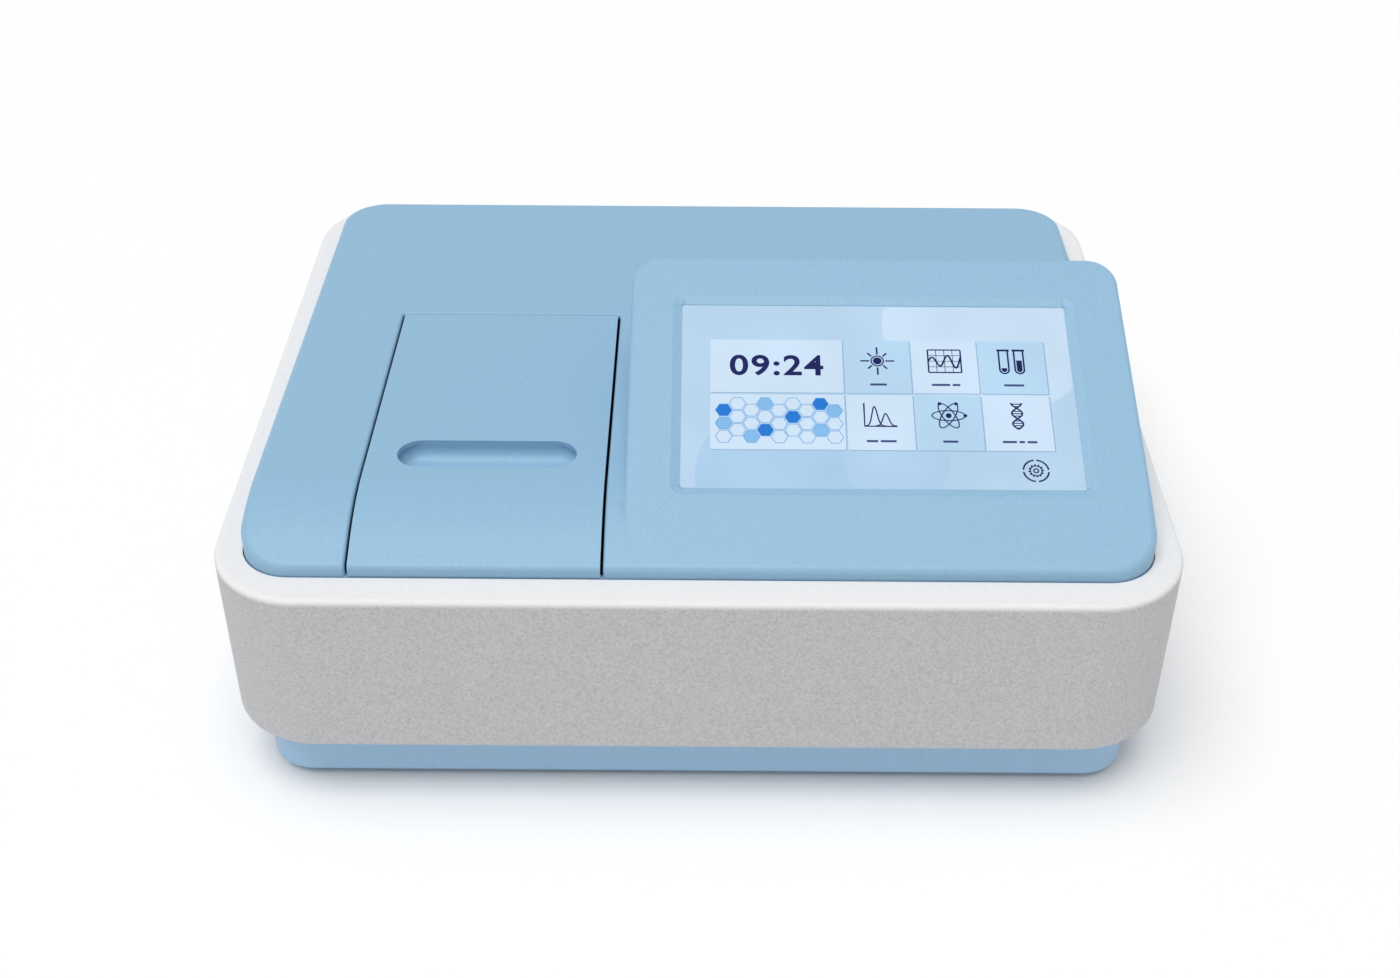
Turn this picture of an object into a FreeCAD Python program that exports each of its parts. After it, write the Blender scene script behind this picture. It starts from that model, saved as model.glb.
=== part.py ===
import FreeCAD, Part
import Sketcher
import math
import os

# Double beam spectrophotometer, a bench instrument with a lift-up lid over its sample
# compartment and a touch screen on a raised wedge.  Millimetres, +Z up, front towards -Y,
# origin at the centre of the footprint, on the surface that the feet stand on.

doc = FreeCAD.newDocument("spectrophotometer")
sheet = doc.addObject("Spreadsheet::Sheet", "Sizes")


class Size:
    """A number together with the sheet formula that gives it."""

    def __init__(self, value, text):
        self.value = float(value)
        self.text = text

    def __add__(self, other):
        other = as_size(other)
        return Size(self.value + other.value, f"({self.text} + {other.text})")

    def __radd__(self, other):
        return as_size(other) + self

    def __sub__(self, other):
        other = as_size(other)
        return Size(self.value - other.value, f"({self.text} - {other.text})")

    def __rsub__(self, other):
        return as_size(other) - self

    def __mul__(self, other):
        other = as_size(other)
        return Size(self.value * other.value, f"({self.text} * {other.text})")

    def __rmul__(self, other):
        return as_size(other) * self

    def __truediv__(self, other):
        other = as_size(other)
        return Size(self.value / other.value, f"({self.text} / {other.text})")

    def __neg__(self):
        return Size(-self.value, f"(0 - {self.text})")


def as_size(number):
    return number if isinstance(number, Size) else Size(number, f"{number:.6g}")


def cosine(angle):
    return Size(math.cos(math.radians(angle.value)), f"cos({angle.text})")


def sine(angle):
    return Size(math.sin(math.radians(angle.value)), f"sin({angle.text})")


def tangent(angle):
    return Size(math.tan(math.radians(angle.value)), f"tan({angle.text})")


def root(size):
    return Size(math.sqrt(size.value), f"sqrt({size.text})")


def dimension(name, value):
    """One driving dimension: a cell of the sheet with its own name."""
    dimension.row += 1
    sheet.set(f"A{dimension.row}", name)
    sheet.set(f"B{dimension.row}", f"{value}")
    sheet.setAlias(f"B{dimension.row}", name)
    return Size(value, f"Sizes.{name}")


dimension.row = 0

# Casing
case_width = dimension("case_width", 530)
case_depth = dimension("case_depth", 446)
foot_height = dimension("foot_height", 5)
foot_radius = dimension("foot_radius", 12)
foot_taper = dimension("foot_taper", 1.5)
foot_inset = dimension("foot_inset", 50)
plinth_height = dimension("plinth_height", 36)
plinth_inset = dimension("plinth_inset", 17)
plinth_corner = dimension("plinth_corner", 26)
plinth_wall = dimension("plinth_wall", 3)
plinth_edge = dimension("plinth_edge", 3)
tray_slot_x = dimension("tray_slot_x", 40)
tray_slot_y = dimension("tray_slot_y", 100)
tray_slot_length = dimension("tray_slot_length", 60)
tray_slot_width = dimension("tray_slot_width", 4)
tray_slot_pitch = dimension("tray_slot_pitch", 10)
tray_slot_count = 8
belt_height = dimension("belt_height", 105.5)
belt_corner = dimension("belt_corner", 52)
belt_wall = dimension("belt_wall", 3.5)
belt_edge = dimension("belt_edge", 3)
band_front = dimension("band_front", 20)
band_back = dimension("band_back", 24)
band_side = dimension("band_side", 16)
recess_corner = dimension("recess_corner", 29)
recess_lip = dimension("recess_lip", 6)
recess_drop = dimension("recess_drop", 4)
skirt_wall = dimension("skirt_wall", 2.5)

# Top cover with the display wedge
cover_gap = dimension("cover_gap", 0.8)
cover_wall = dimension("cover_wall", 3)
cover_front_rise = dimension("cover_front_rise", 6.8)
slope_tilt = dimension("slope_tilt", 21)
crest_run = dimension("crest_run", 39.5)
crest_radius = dimension("crest_radius", 125)
top_fall = dimension("top_fall", 1.3)
cover_edge = dimension("cover_edge", 4.5)
wedge_width = dimension("wedge_width", 288.7)
wedge_run = dimension("wedge_run", 201.7)
wedge_corner = dimension("wedge_corner", 17)
wedge_start = dimension("wedge_start", 15.5)
wedge_edge = dimension("wedge_edge", 2.5)
wedge_lean = dimension("wedge_lean", 2)
mouth_edge = dimension("mouth_edge", 2)
blank_height = dimension("blank_height", 100)
window_width = dimension("window_width", 223.3)
window_height = dimension("window_height", 127.2)
window_corner = dimension("window_corner", 1.5)
window_side_margin = dimension("window_side_margin", 35.4)
window_top_margin = dimension("window_top_margin", 36.2)
bezel_border = dimension("bezel_border", 5.5)
bezel_drop = dimension("bezel_drop", 1.6)

# Display stack behind the window
glass_border = dimension("glass_border", 8)
glass_corner = dimension("glass_corner", 3)
glass_seat = dimension("glass_seat", 0.8)
glass_thickness = dimension("glass_thickness", 1.8)
lcd_border = dimension("lcd_border", 6)
lcd_thickness = dimension("lcd_thickness", 6)
pan_border = dimension("pan_border", 11)
pan_corner = dimension("pan_corner", 6)
pan_sheet = dimension("pan_sheet", 1.2)
post_height = dimension("post_height", 5)
board_thickness = dimension("board_thickness", 1.6)
fit_gap = dimension("fit_gap", 0.4)
post_inset = dimension("post_inset", 14)
post_radius = dimension("post_radius", 3)
board_corner = dimension("board_corner", 3)
driver_inset = dimension("driver_inset", 9)
driver_corner = dimension("driver_corner", 2)
chip_size = dimension("chip_size", 28)
chip_height = dimension("chip_height", 3)
plug_inset = dimension("plug_inset", 6)
plug_width = dimension("plug_width", 10)
plug_length = dimension("plug_length", 40)
plug_height = dimension("plug_height", 6)

# Lid over the sample compartment
lid_width = dimension("lid_width", 135)
lid_left_margin = dimension("lid_left_margin", 60.7)
lid_run = dimension("lid_run", 242)
lid_gap = dimension("lid_gap", 1.5)
lid_wall = dimension("lid_wall", 3)
lid_frame_wall = dimension("lid_frame_wall", 2.5)
lid_foot_gap = dimension("lid_foot_gap", 0.3)
lid_edge_relief = dimension("lid_edge_relief", 1)
recess_length = dimension("recess_length", 101.5)
recess_width = dimension("recess_width", 26.6)
recess_run = dimension("recess_run", 84.9)
recess_depth = dimension("recess_depth", 9)
recess_wall = dimension("recess_wall", 2)
recess_scoop = dimension("recess_scoop", 7)
recess_undercut = dimension("recess_undercut", 2)
hinge_setback = dimension("hinge_setback", 25)
hinge_drop = dimension("hinge_drop", 7.5)
hinge_pin_radius = dimension("hinge_pin_radius", 2)
hinge_clearance = dimension("hinge_clearance", 0.05)
hinge_ear_thickness = dimension("hinge_ear_thickness", 5)
hinge_ear_radius = dimension("hinge_ear_radius", 4.2)
hinge_ear_inset = dimension("hinge_ear_inset", 20)
hinge_plate = dimension("hinge_plate", 2)
hinge_plate_drop = dimension("hinge_plate_drop", 8)
hinge_plate_height = dimension("hinge_plate_height", 30)
hinge_arm = dimension("hinge_arm", 3)
arm_gap = dimension("arm_gap", 0.3)

# Optical bench and the sample compartment that stands on it
bench_level = dimension("bench_level", 30)
bench_thickness = dimension("bench_thickness", 8)
bench_side_gap = dimension("bench_side_gap", 33)
bench_front_margin = dimension("bench_front_margin", 10)
bench_depth = dimension("bench_depth", 262)
bench_corner = dimension("bench_corner", 12)
boss_radius = dimension("boss_radius", 7)
boss_inset = dimension("boss_inset", 16)
bench_bolt_radius = dimension("bench_bolt_radius", 2.5)
screw_clearance = dimension("screw_clearance", 0.25)
rib_depth = dimension("rib_depth", 10)
rib_width = dimension("rib_width", 5)
beam_height = dimension("beam_height", 62)
sample_offset = dimension("sample_offset", 62)
beam_pitch = dimension("beam_pitch", 60)
well_width = dimension("well_width", 112)
well_setback = dimension("well_setback", 20.2)
hinge_reach = dimension("hinge_reach", 14.8)
well_wall = dimension("well_wall", 2.5)
well_floor = dimension("well_floor", 24)
well_corner = dimension("well_corner", 3)
well_flange = dimension("well_flange", 7)
well_top_gap = dimension("well_top_gap", 1)
flange_thickness = dimension("flange_thickness", 2)
seal_thickness = dimension("seal_thickness", 3)
seal_width = dimension("seal_width", 5)
port_radius = dimension("port_radius", 8)
beam_window_radius = dimension("beam_window_radius", 11)
beam_window_thickness = dimension("beam_window_thickness", 2)
carrier_width = dimension("carrier_width", 96)
carrier_margin = dimension("carrier_margin", 12)
carrier_thickness = dimension("carrier_thickness", 3)
carrier_corner = dimension("carrier_corner", 6)
holder_width = dimension("holder_width", 36)
holder_depth = dimension("holder_depth", 34)
holder_height = dimension("holder_height", 47)
holder_edge = dimension("holder_edge", 4)
cuvette_slot = dimension("cuvette_slot", 12.7)
cuvette_depth = dimension("cuvette_depth", 27)
aperture_radius = dimension("aperture_radius", 4.5)

# Monochromator
divider_bay = dimension("divider_bay", 36)
mono_width = dimension("mono_width", 146)
mono_front_margin = dimension("mono_front_margin", 12)
mono_depth = dimension("mono_depth", 240)
mono_height = dimension("mono_height", 84)
mono_wall = dimension("mono_wall", 4)
mono_corner = dimension("mono_corner", 8)
mono_lid = dimension("mono_lid", 3)
mono_lid_edge = dimension("mono_lid_edge", 1)
screw_port_gap = dimension("screw_port_gap", 2)
slit_plate = dimension("slit_plate", 1.5)
slit_height = dimension("slit_height", 10)
slit_width = dimension("slit_width", 1)
slit_size = dimension("slit_size", 24)
slit_corner = dimension("slit_corner", 2)
source_offset = dimension("source_offset", 80)
mirror_height = dimension("mirror_height", 36)
mirror_width = dimension("mirror_width", 34)
mirror_thickness = dimension("mirror_thickness", 6)
mirror_mount = dimension("mirror_mount", 6)
mount_inset = dimension("mount_inset", 4)
mount_drop = dimension("mount_drop", 4)
mount_foot_height = dimension("mount_foot_height", 4)
mount_foot_inset = dimension("mount_foot_inset", 2)
mount_foot_reach = dimension("mount_foot_reach", 6)
grating_offset = dimension("grating_offset", 73)
grating_width = dimension("grating_width", 30)
grating_thickness = dimension("grating_thickness", 8)
table_radius = dimension("table_radius", 22)
table_thickness = dimension("table_thickness", 4)
spindle_radius = dimension("spindle_radius", 5)
bearing_radius = dimension("bearing_radius", 11)
bearing_height = dimension("bearing_height", 8)
arm_length = dimension("arm_length", 55)
arm_width = dimension("arm_width", 5)
follower_radius = dimension("follower_radius", 5)
follower_rise = dimension("follower_rise", 2)
screw_radius = dimension("screw_radius", 3)
screw_level = dimension("screw_level", 24)
nut_size = dimension("nut_size", 14)
nut_length = dimension("nut_length", 10)
stepper_size = dimension("stepper_size", 35)
stepper_length = dimension("stepper_length", 26)
stepper_corner = dimension("stepper_corner", 4)
screw_overrun = dimension("screw_overrun", 35)
nut_gap = dimension("nut_gap", 0.3)
table_gap = dimension("table_gap", 0.3)
grating_mount = dimension("grating_mount", 5)
dish_radius = dimension("dish_radius", 150)
dish_depth = dimension("dish_depth", 1)
fold_width = dimension("fold_width", 22)
collimator_offset = dimension("collimator_offset", 123)
focuser_offset = dimension("focuser_offset", 30)
mirror_setback = dimension("mirror_setback", 30)

# Lamp house and filter wheel
filter_bay = dimension("filter_bay", 30)
lamp_house_width = dimension("lamp_house_width", 60)
lamp_house_reach = dimension("lamp_house_reach", 50)
lamp_house_depth = dimension("lamp_house_depth", 98)
lamp_house_height = dimension("lamp_house_height", 94)
lamp_house_wall = dimension("lamp_house_wall", 3)
fin_depth = dimension("fin_depth", 8)
fin_thickness = dimension("fin_thickness", 2)
fin_pitch = dimension("fin_pitch", 7)
fin_inset = dimension("fin_inset", 2)
source_mirror_offset = dimension("source_mirror_offset", 44)
lamp_setback = dimension("lamp_setback", 22)
lamp_offset = dimension("lamp_offset", 27)
deuterium_radius = dimension("deuterium_radius", 13)
deuterium_height = dimension("deuterium_height", 56)
collar_reach = dimension("collar_reach", 3)
collar_height = dimension("collar_height", 4)
halogen_radius = dimension("halogen_radius", 6)
halogen_height = dimension("halogen_height", 26)
capsule_foot = dimension("capsule_foot", 6)
capsule_shoulder = dimension("capsule_shoulder", 9)
filter_wheel_radius = dimension("filter_wheel_radius", 26)
filter_wheel_thickness = dimension("filter_wheel_thickness", 3)
filter_ring = dimension("filter_ring", 17)
filter_radius = dimension("filter_radius", 6)
filter_hub_radius = dimension("filter_hub_radius", 5)
filter_hub_height = dimension("filter_hub_height", 3)
filter_count = 6
gear_motor_radius = dimension("gear_motor_radius", 12)
shaft_radius = dimension("shaft_radius", 2)
fin_count = 12
lamp_socket_height = dimension("lamp_socket_height", 22)
socket_base_reach = dimension("socket_base_reach", 4)
socket_base_height = dimension("socket_base_height", 3)
source_mirror_size = dimension("source_mirror_size", 26)
fork_height = dimension("fork_height", 4)
fork_reach = dimension("fork_reach", 2)
stem_wall = dimension("stem_wall", 1)
fork_boss = dimension("fork_boss", 3)
gear_motor_nose = dimension("gear_motor_nose", 2)
gear_motor_height = dimension("gear_motor_height", 22)
filter_motor_height = dimension("filter_motor_height", 14)
divider_width = dimension("divider_width", 20)
divider_height = dimension("divider_height", 40)
divider_corner = dimension("divider_corner", 4)
splitter_thickness = dimension("splitter_thickness", 1.5)
sample_fold_thickness = dimension("sample_fold_thickness", 4)
divider_mirror_size = dimension("divider_mirror_size", 18)

# Detectors
detector_bay = dimension("detector_bay", 54)
detector_width = dimension("detector_width", 44)
detector_reach = dimension("detector_reach", 30)
detector_depth = dimension("detector_depth", 120)
detector_height = dimension("detector_height", 90)
detector_wall = dimension("detector_wall", 3)
lens_radius = dimension("lens_radius", 10)
lens_thickness = dimension("lens_thickness", 5)
diode_radius = dimension("diode_radius", 7)
diode_height = dimension("diode_height", 6)
diode_rim = dimension("diode_rim", 1)
detector_chip_height = dimension("detector_chip_height", 3)
detector_chip_size = dimension("detector_chip_size", 16)
detector_chip_drop = dimension("detector_chip_drop", 24)

# Rear panel and what it carries
panel_side_gap = dimension("panel_side_gap", 55)
panel_height = dimension("panel_height", 78)
panel_level = dimension("panel_level", 53)
panel_sheet = dimension("panel_sheet", 2)
panel_border = dimension("panel_border", 7)
panel_x = dimension("panel_x", 0)
panel_corner = dimension("panel_corner", 6)
panel_screw_radius = dimension("panel_screw_radius", 1.5)
fan_side = dimension("fan_side", 60)
fan_size = dimension("fan_size", 60)
fan_thickness = dimension("fan_thickness", 15)
fan_corner = dimension("fan_corner", 4)
fan_opening = dimension("fan_opening", 19.04)
rotor_recess = dimension("rotor_recess", 1)
rotor_face = dimension("rotor_face", 2)
blade_inset = dimension("blade_inset", 1)
blade_root = dimension("blade_root", 1)
fan_bore = dimension("fan_bore", 28)
fan_hub_radius = dimension("fan_hub_radius", 13)
fan_tip_gap = dimension("fan_tip_gap", 0.8)
fan_screw_radius = dimension("fan_screw_radius", 2)
fan_screw_inset = dimension("fan_screw_inset", 5)
fan_floor = dimension("fan_floor", 2)
fan_spoke = dimension("fan_spoke", 4)
fan_axle_length = dimension("fan_axle_length", 8)
fan_axial_gap = dimension("fan_axial_gap", 0.5)
fan_blade = dimension("fan_blade", 2)
fan_blade_sweep = dimension("fan_blade_sweep", 6)
fan_blade_relief = dimension("fan_blade_relief", 1)
guard_wire = dimension("guard_wire", 1.7)
guard_pitch = dimension("guard_pitch", 7)
guard_rings = 3
screw_head = dimension("screw_head", 1.8)
serial_pitch = dimension("serial_pitch", 78)
serial_width = dimension("serial_width", 18)
serial_height = dimension("serial_height", 10)
usb_pitch = dimension("usb_pitch", 45)
usb_width = dimension("usb_width", 12)
usb_height = dimension("usb_height", 11)
socket_ear = dimension("socket_ear", 6)
socket_ear_rise = dimension("socket_ear_rise", 1.5)
socket_plate = dimension("socket_plate", 2)
socket_depth = dimension("socket_depth", 14)
socket_recess = dimension("socket_recess", 5)
serial_lip = dimension("serial_lip", 3.5)
serial_shell = dimension("serial_shell", 1)
serial_tongue_width = dimension("serial_tongue_width", 9.9)
serial_tongue_height = dimension("serial_tongue_height", 2.5)
usb_lip = dimension("usb_lip", 0.5)
usb_shell = dimension("usb_shell", 0.8)
usb_tongue_width = dimension("usb_tongue_width", 6.6)
usb_tongue_height = dimension("usb_tongue_height", 2.75)
vent_offset = dimension("vent_offset", 33)
vent_pitch = dimension("vent_pitch", 8)
vent_width = dimension("vent_width", 4)
vent_height = dimension("vent_height", 44)
vent_count = 8
fan_blade_count = 7
inlet_side = dimension("inlet_side", 50)
inlet_width = dimension("inlet_width", 27)
inlet_height = dimension("inlet_height", 20)
inlet_depth = dimension("inlet_depth", 24)
inlet_flange_width = dimension("inlet_flange_width", 50)
inlet_flange_height = dimension("inlet_flange_height", 24)
inlet_flange_thickness = dimension("inlet_flange_thickness", 2.5)
inlet_wall = dimension("inlet_wall", 1.8)
inlet_corner = dimension("inlet_corner", 4)
inlet_pin_pitch = dimension("inlet_pin_pitch", 7)
inlet_pin_drop = dimension("inlet_pin_drop", 1.5)
inlet_pin_rise = dimension("inlet_pin_rise", 2.5)
inlet_pin_thickness = dimension("inlet_pin_thickness", 2)
inlet_pin_width = dimension("inlet_pin_width", 4)
inlet_bevel = dimension("inlet_bevel", 4)
inlet_socket_depth = dimension("inlet_socket_depth", 16)
inlet_pin_length = dimension("inlet_pin_length", 12)
inlet_screw_reach = dimension("inlet_screw_reach", 20)
switch_pitch = dimension("switch_pitch", 52)
switch_width = dimension("switch_width", 22)
switch_height = dimension("switch_height", 28)
switch_depth = dimension("switch_depth", 18)
switch_flange = dimension("switch_flange", 1.5)
rocker_gap = dimension("rocker_gap", 0.3)
rocker_end_gap = dimension("rocker_end_gap", 1.6)
rocker_rise = dimension("rocker_rise", 2)
rocker_skirt = dimension("rocker_skirt", 3)
rocker_pivot_depth = dimension("rocker_pivot_depth", 6)
rocker_pin_radius = dimension("rocker_pin_radius", 1.5)
rocker_pin_length = dimension("rocker_pin_length", 1.5)
switch_wall = dimension("switch_wall", 1.5)
switch_lip = dimension("switch_lip", 2)
switch_corner = dimension("switch_corner", 1.5)
rocker_back = dimension("rocker_back", 2)
rocker_keel = dimension("rocker_keel", 4)
rocker_taper = dimension("rocker_taper", 1)

# Electronics
standoff = dimension("standoff", 6)
board_hole_inset = dimension("board_hole_inset", 6)
supply_side_gap = dimension("supply_side_gap", 50)
supply_width = dimension("supply_width", 112)
supply_back_gap = dimension("supply_back_gap", 37)
supply_depth = dimension("supply_depth", 96)
supply_height = dimension("supply_height", 42)
supply_sheet = dimension("supply_sheet", 1.5)
supply_slot_start = dimension("supply_slot_start", 10)
supply_slot_pitch = dimension("supply_slot_pitch", 8)
supply_slot_inset = dimension("supply_slot_inset", 16)
supply_slot_width = dimension("supply_slot_width", 3)
supply_slot_count = 9
# The two blocks inside the supply: place across, width, inset from both ends, drop from the top
supply_blocks = (12, 32, 10, 12), (56, 42, 14, 16)
main_board_gap = dimension("main_board_gap", 18)
main_board_width = dimension("main_board_width", 130)
lamp_supply_side_gap = dimension("lamp_supply_side_gap", 44)
lamp_supply_width = dimension("lamp_supply_width", 96)

# Cutting tools reach this far past what they cut; a straight edge this long runs right
# across the cover or the lid; the walls under the lid follow its crest in so many steps
tool_overrun = 10
long_edge = 60
crest_steps = 6

# Levels and lines that many pieces share
plinth_bottom = foot_height
belt_bottom = plinth_bottom + plinth_height
rim = belt_bottom + belt_height
front = -case_depth / 2
back = case_depth / 2
cover_front = front + band_front + cover_gap
cover_back = back - band_back - cover_gap
cover_side = case_width / 2 - band_side - cover_gap
cover_bottom = rim - recess_drop
tray_floor = plinth_bottom + plinth_wall
bench_top = bench_level + bench_thickness
beam_level = bench_top + beam_height
lid_centre = lid_left_margin + lid_width / 2 - cover_side
crest_y = cover_front + crest_run
crest_z = rim + cover_front_rise + crest_run * tangent(slope_tilt)
lid_back = cover_front + lid_run
hinge_y = lid_back - hinge_setback
hinge_z = crest_z - (hinge_y - crest_y) * tangent(top_fall) - hinge_drop
well_top = rim - well_top_gap
well_left = lid_centre - well_width / 2
well_right = lid_centre + well_width / 2
well_front = cover_front + well_setback
well_back = hinge_y - hinge_reach
sample_line = well_front + sample_offset
reference_line = sample_line + beam_pitch
source_line = reference_line + source_offset
bench_half_width = case_width / 2 - bench_side_gap
bench_front = well_front - bench_front_margin
bench_back = bench_front + bench_depth
mono_left = well_right + divider_bay
mono_front = bench_front + mono_front_margin
grating_x = mono_left + grating_offset
grating_y = source_line
collimator_x = mono_left + collimator_offset
focuser_x = mono_left + focuser_offset
mirror_y = mono_front + mirror_setback
lamp_house_left = mono_left + mono_width + filter_bay
lamp_house_front = source_line - lamp_house_reach
source_mirror_x = lamp_house_left + source_mirror_offset
lamp_x = lamp_house_left + lamp_setback
detector_left = well_left - detector_bay
detector_front = sample_line - detector_reach
panel_face = back - belt_wall
panel_back = panel_face - panel_sheet
panel_middle = panel_level + panel_height / 2
panel_width = case_width - 2 * panel_side_gap
panel_left = panel_x - panel_width / 2
fan_x = panel_x + panel_width / 2 - fan_side
inlet_x = panel_left + inlet_side
switch_x = inlet_x + switch_pitch
serial_x = switch_x + serial_pitch
usb_x = serial_x + usb_pitch
vent_x = usb_x + vent_offset
supply_left = supply_side_gap - case_width / 2
supply_front = back - supply_back_gap - supply_depth
main_board_left = supply_left + supply_width + main_board_gap
lamp_supply_left = case_width / 2 - lamp_supply_side_gap - lamp_supply_width


class Piece:
    """One sub-part as a body that grows and is cut feature by feature."""

    def __init__(self, label):
        self.body = doc.addObject("PartDesign::Body", label)
        self.body.Label = label
        self.count = 0

    def plane(self, role):
        for feature in self.body.Origin.OriginFeatures:
            if feature.Role == role:
                return feature
        raise ValueError(role)

    def sketch(self, axis, level, drawings):
        """A sketch across the axis, at that level: x,y for Z; x,z for Y; y,z for X."""
        self.count += 1
        name = f"{self.body.Name}_sketch_{self.count}"
        role = {"Z": "XY_Plane", "Y": "XZ_Plane", "X": "YZ_Plane"}[axis]
        sketch = self.body.newObject("Sketcher::SketchObject", name)
        sketch.AttachmentSupport = [(self.plane(role), "")]
        sketch.MapMode = "FlatFace"
        offset = -as_size(level) if axis == "Y" else as_size(level)
        sketch.AttachmentOffset = FreeCAD.Placement(
            FreeCAD.Vector(0, 0, offset.value), FreeCAD.Rotation())
        sketch.setExpression("AttachmentOffset.Base.z", offset.text)
        for drawing in drawings:
            drawing(sketch)
        return sketch

    def add(self, axis, low, high, *drawings):
        """Material between two levels along the axis."""
        sketch = self.sketch(axis, high if axis == "Y" else low, drawings)
        pad = self.body.newObject("PartDesign::Pad", f"{sketch.Name}_pad")
        pad.Profile = sketch
        length = as_size(high) - low
        pad.Length = length.value
        pad.setExpression("Length", length.text)
        return pad

    def cut(self, axis, low, high, *drawings):
        """A pocket between two levels along the axis."""
        sketch = self.sketch(axis, low if axis == "Y" else high, drawings)
        pocket = self.body.newObject("PartDesign::Pocket", f"{sketch.Name}_pocket")
        pocket.Profile = sketch
        length = as_size(high) - low
        pocket.Length = length.value
        pocket.setExpression("Length", length.text)
        return pocket

    def turn(self, *drawings):
        """A revolved form about the body's own Z axis, from a half section in x,z."""
        sketch = self.sketch("Y", 0, drawings)
        turned = self.body.newObject("PartDesign::Revolution", f"{sketch.Name}_turned")
        turned.Profile = sketch
        turned.ReferenceAxis = (sketch, ["V_Axis"])
        turned.Angle = 360
        return turned

    def round(self, radius, chosen):
        """A fillet on the edges that the test function picks."""
        doc.recompute()
        tip = self.body.Tip
        edges = [f"Edge{i + 1}" for i, edge in enumerate(tip.Shape.Edges) if chosen(edge)]
        if not edges:
            raise ValueError(f"no edge to round on {self.body.Label}")
        self.count += 1
        fillet = self.body.newObject("PartDesign::Fillet", f"{self.body.Name}_fillet_{self.count}")
        fillet.Base = (tip, edges)
        radius = as_size(radius)
        fillet.Radius = radius.value
        fillet.setExpression("Radius", radius.text)
        self.body.Tip = fillet
        return fillet

    def ring(self, feature, copies):
        """Copies of a feature round the body's own Z axis."""
        self.count += 1
        pattern = self.body.newObject("PartDesign::PolarPattern",
                                      f"{self.body.Name}_ring_{self.count}")
        pattern.Originals = [feature]
        pattern.Axis = (self.plane("Z_Axis"), [""])
        pattern.Angle = 360
        pattern.Occurrences = copies
        self.body.Tip = pattern
        return pattern

    def place(self, x=0, y=0, z=0, axis=(0, 0, 1), angle=0):
        put(self.body, x, y, z, axis, angle)
        return self


def put(thing, x=0, y=0, z=0, axis=(0, 0, 1), angle=0):
    """Place an object, its three coordinates tied to the sheet."""
    spot = [as_size(value) for value in (x, y, z)]
    angle = as_size(angle)
    thing.Placement = FreeCAD.Placement(
        FreeCAD.Vector(*[value.value for value in spot]),
        FreeCAD.Rotation(FreeCAD.Vector(*axis), angle.value))
    for letter, value in zip("xyz", spot):
        thing.setExpression(f"Placement.Base.{letter}", value.text)
    if angle.value:
        thing.setExpression("Placement.Rotation.Angle", angle.text)


def tie(sketch, kind, first, second, size):
    """A dimension from the sketch's origin to a point, bound to its formula."""
    size = as_size(size)
    index = sketch.addConstraint(
        Sketcher.Constraint(kind, -1, 1, first, second, size.value))
    sketch.setExpression(f"Constraints[{index}]", size.text)


def polygon(*points):
    """A closed outline through the given corners."""
    corners = [(as_size(x), as_size(y)) for x, y in points]

    def draw(sketch):
        spots = [FreeCAD.Vector(x.value, y.value, 0) for x, y in corners]
        first = sketch.GeometryCount
        for i, spot in enumerate(spots):
            sketch.addGeometry(Part.LineSegment(spot, spots[(i + 1) % len(spots)]), False)
        for i in range(len(spots)):
            after = first + (i + 1) % len(spots)
            sketch.addConstraint(Sketcher.Constraint("Coincident", first + i, 2, after, 1))
        for i, (x, y) in enumerate(corners):
            tie(sketch, "DistanceX", first + i, 1, x)
            tie(sketch, "DistanceY", first + i, 1, y)

    return draw


def rectangle(x0, x1, y0, y1):
    return polygon((x0, y0), (x1, y0), (x1, y1), (x0, y1))


def circle(x, y, radius):
    x, y, radius = as_size(x), as_size(y), as_size(radius)

    def draw(sketch):
        centre = FreeCAD.Vector(x.value, y.value, 0)
        ring = sketch.addGeometry(
            Part.Circle(centre, FreeCAD.Vector(0, 0, 1), radius.value), False)
        index = sketch.addConstraint(Sketcher.Constraint("Radius", ring, radius.value))
        sketch.setExpression(f"Constraints[{index}]", radius.text)
        tie(sketch, "DistanceX", ring, 3, x)
        tie(sketch, "DistanceY", ring, 3, y)

    return draw


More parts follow.
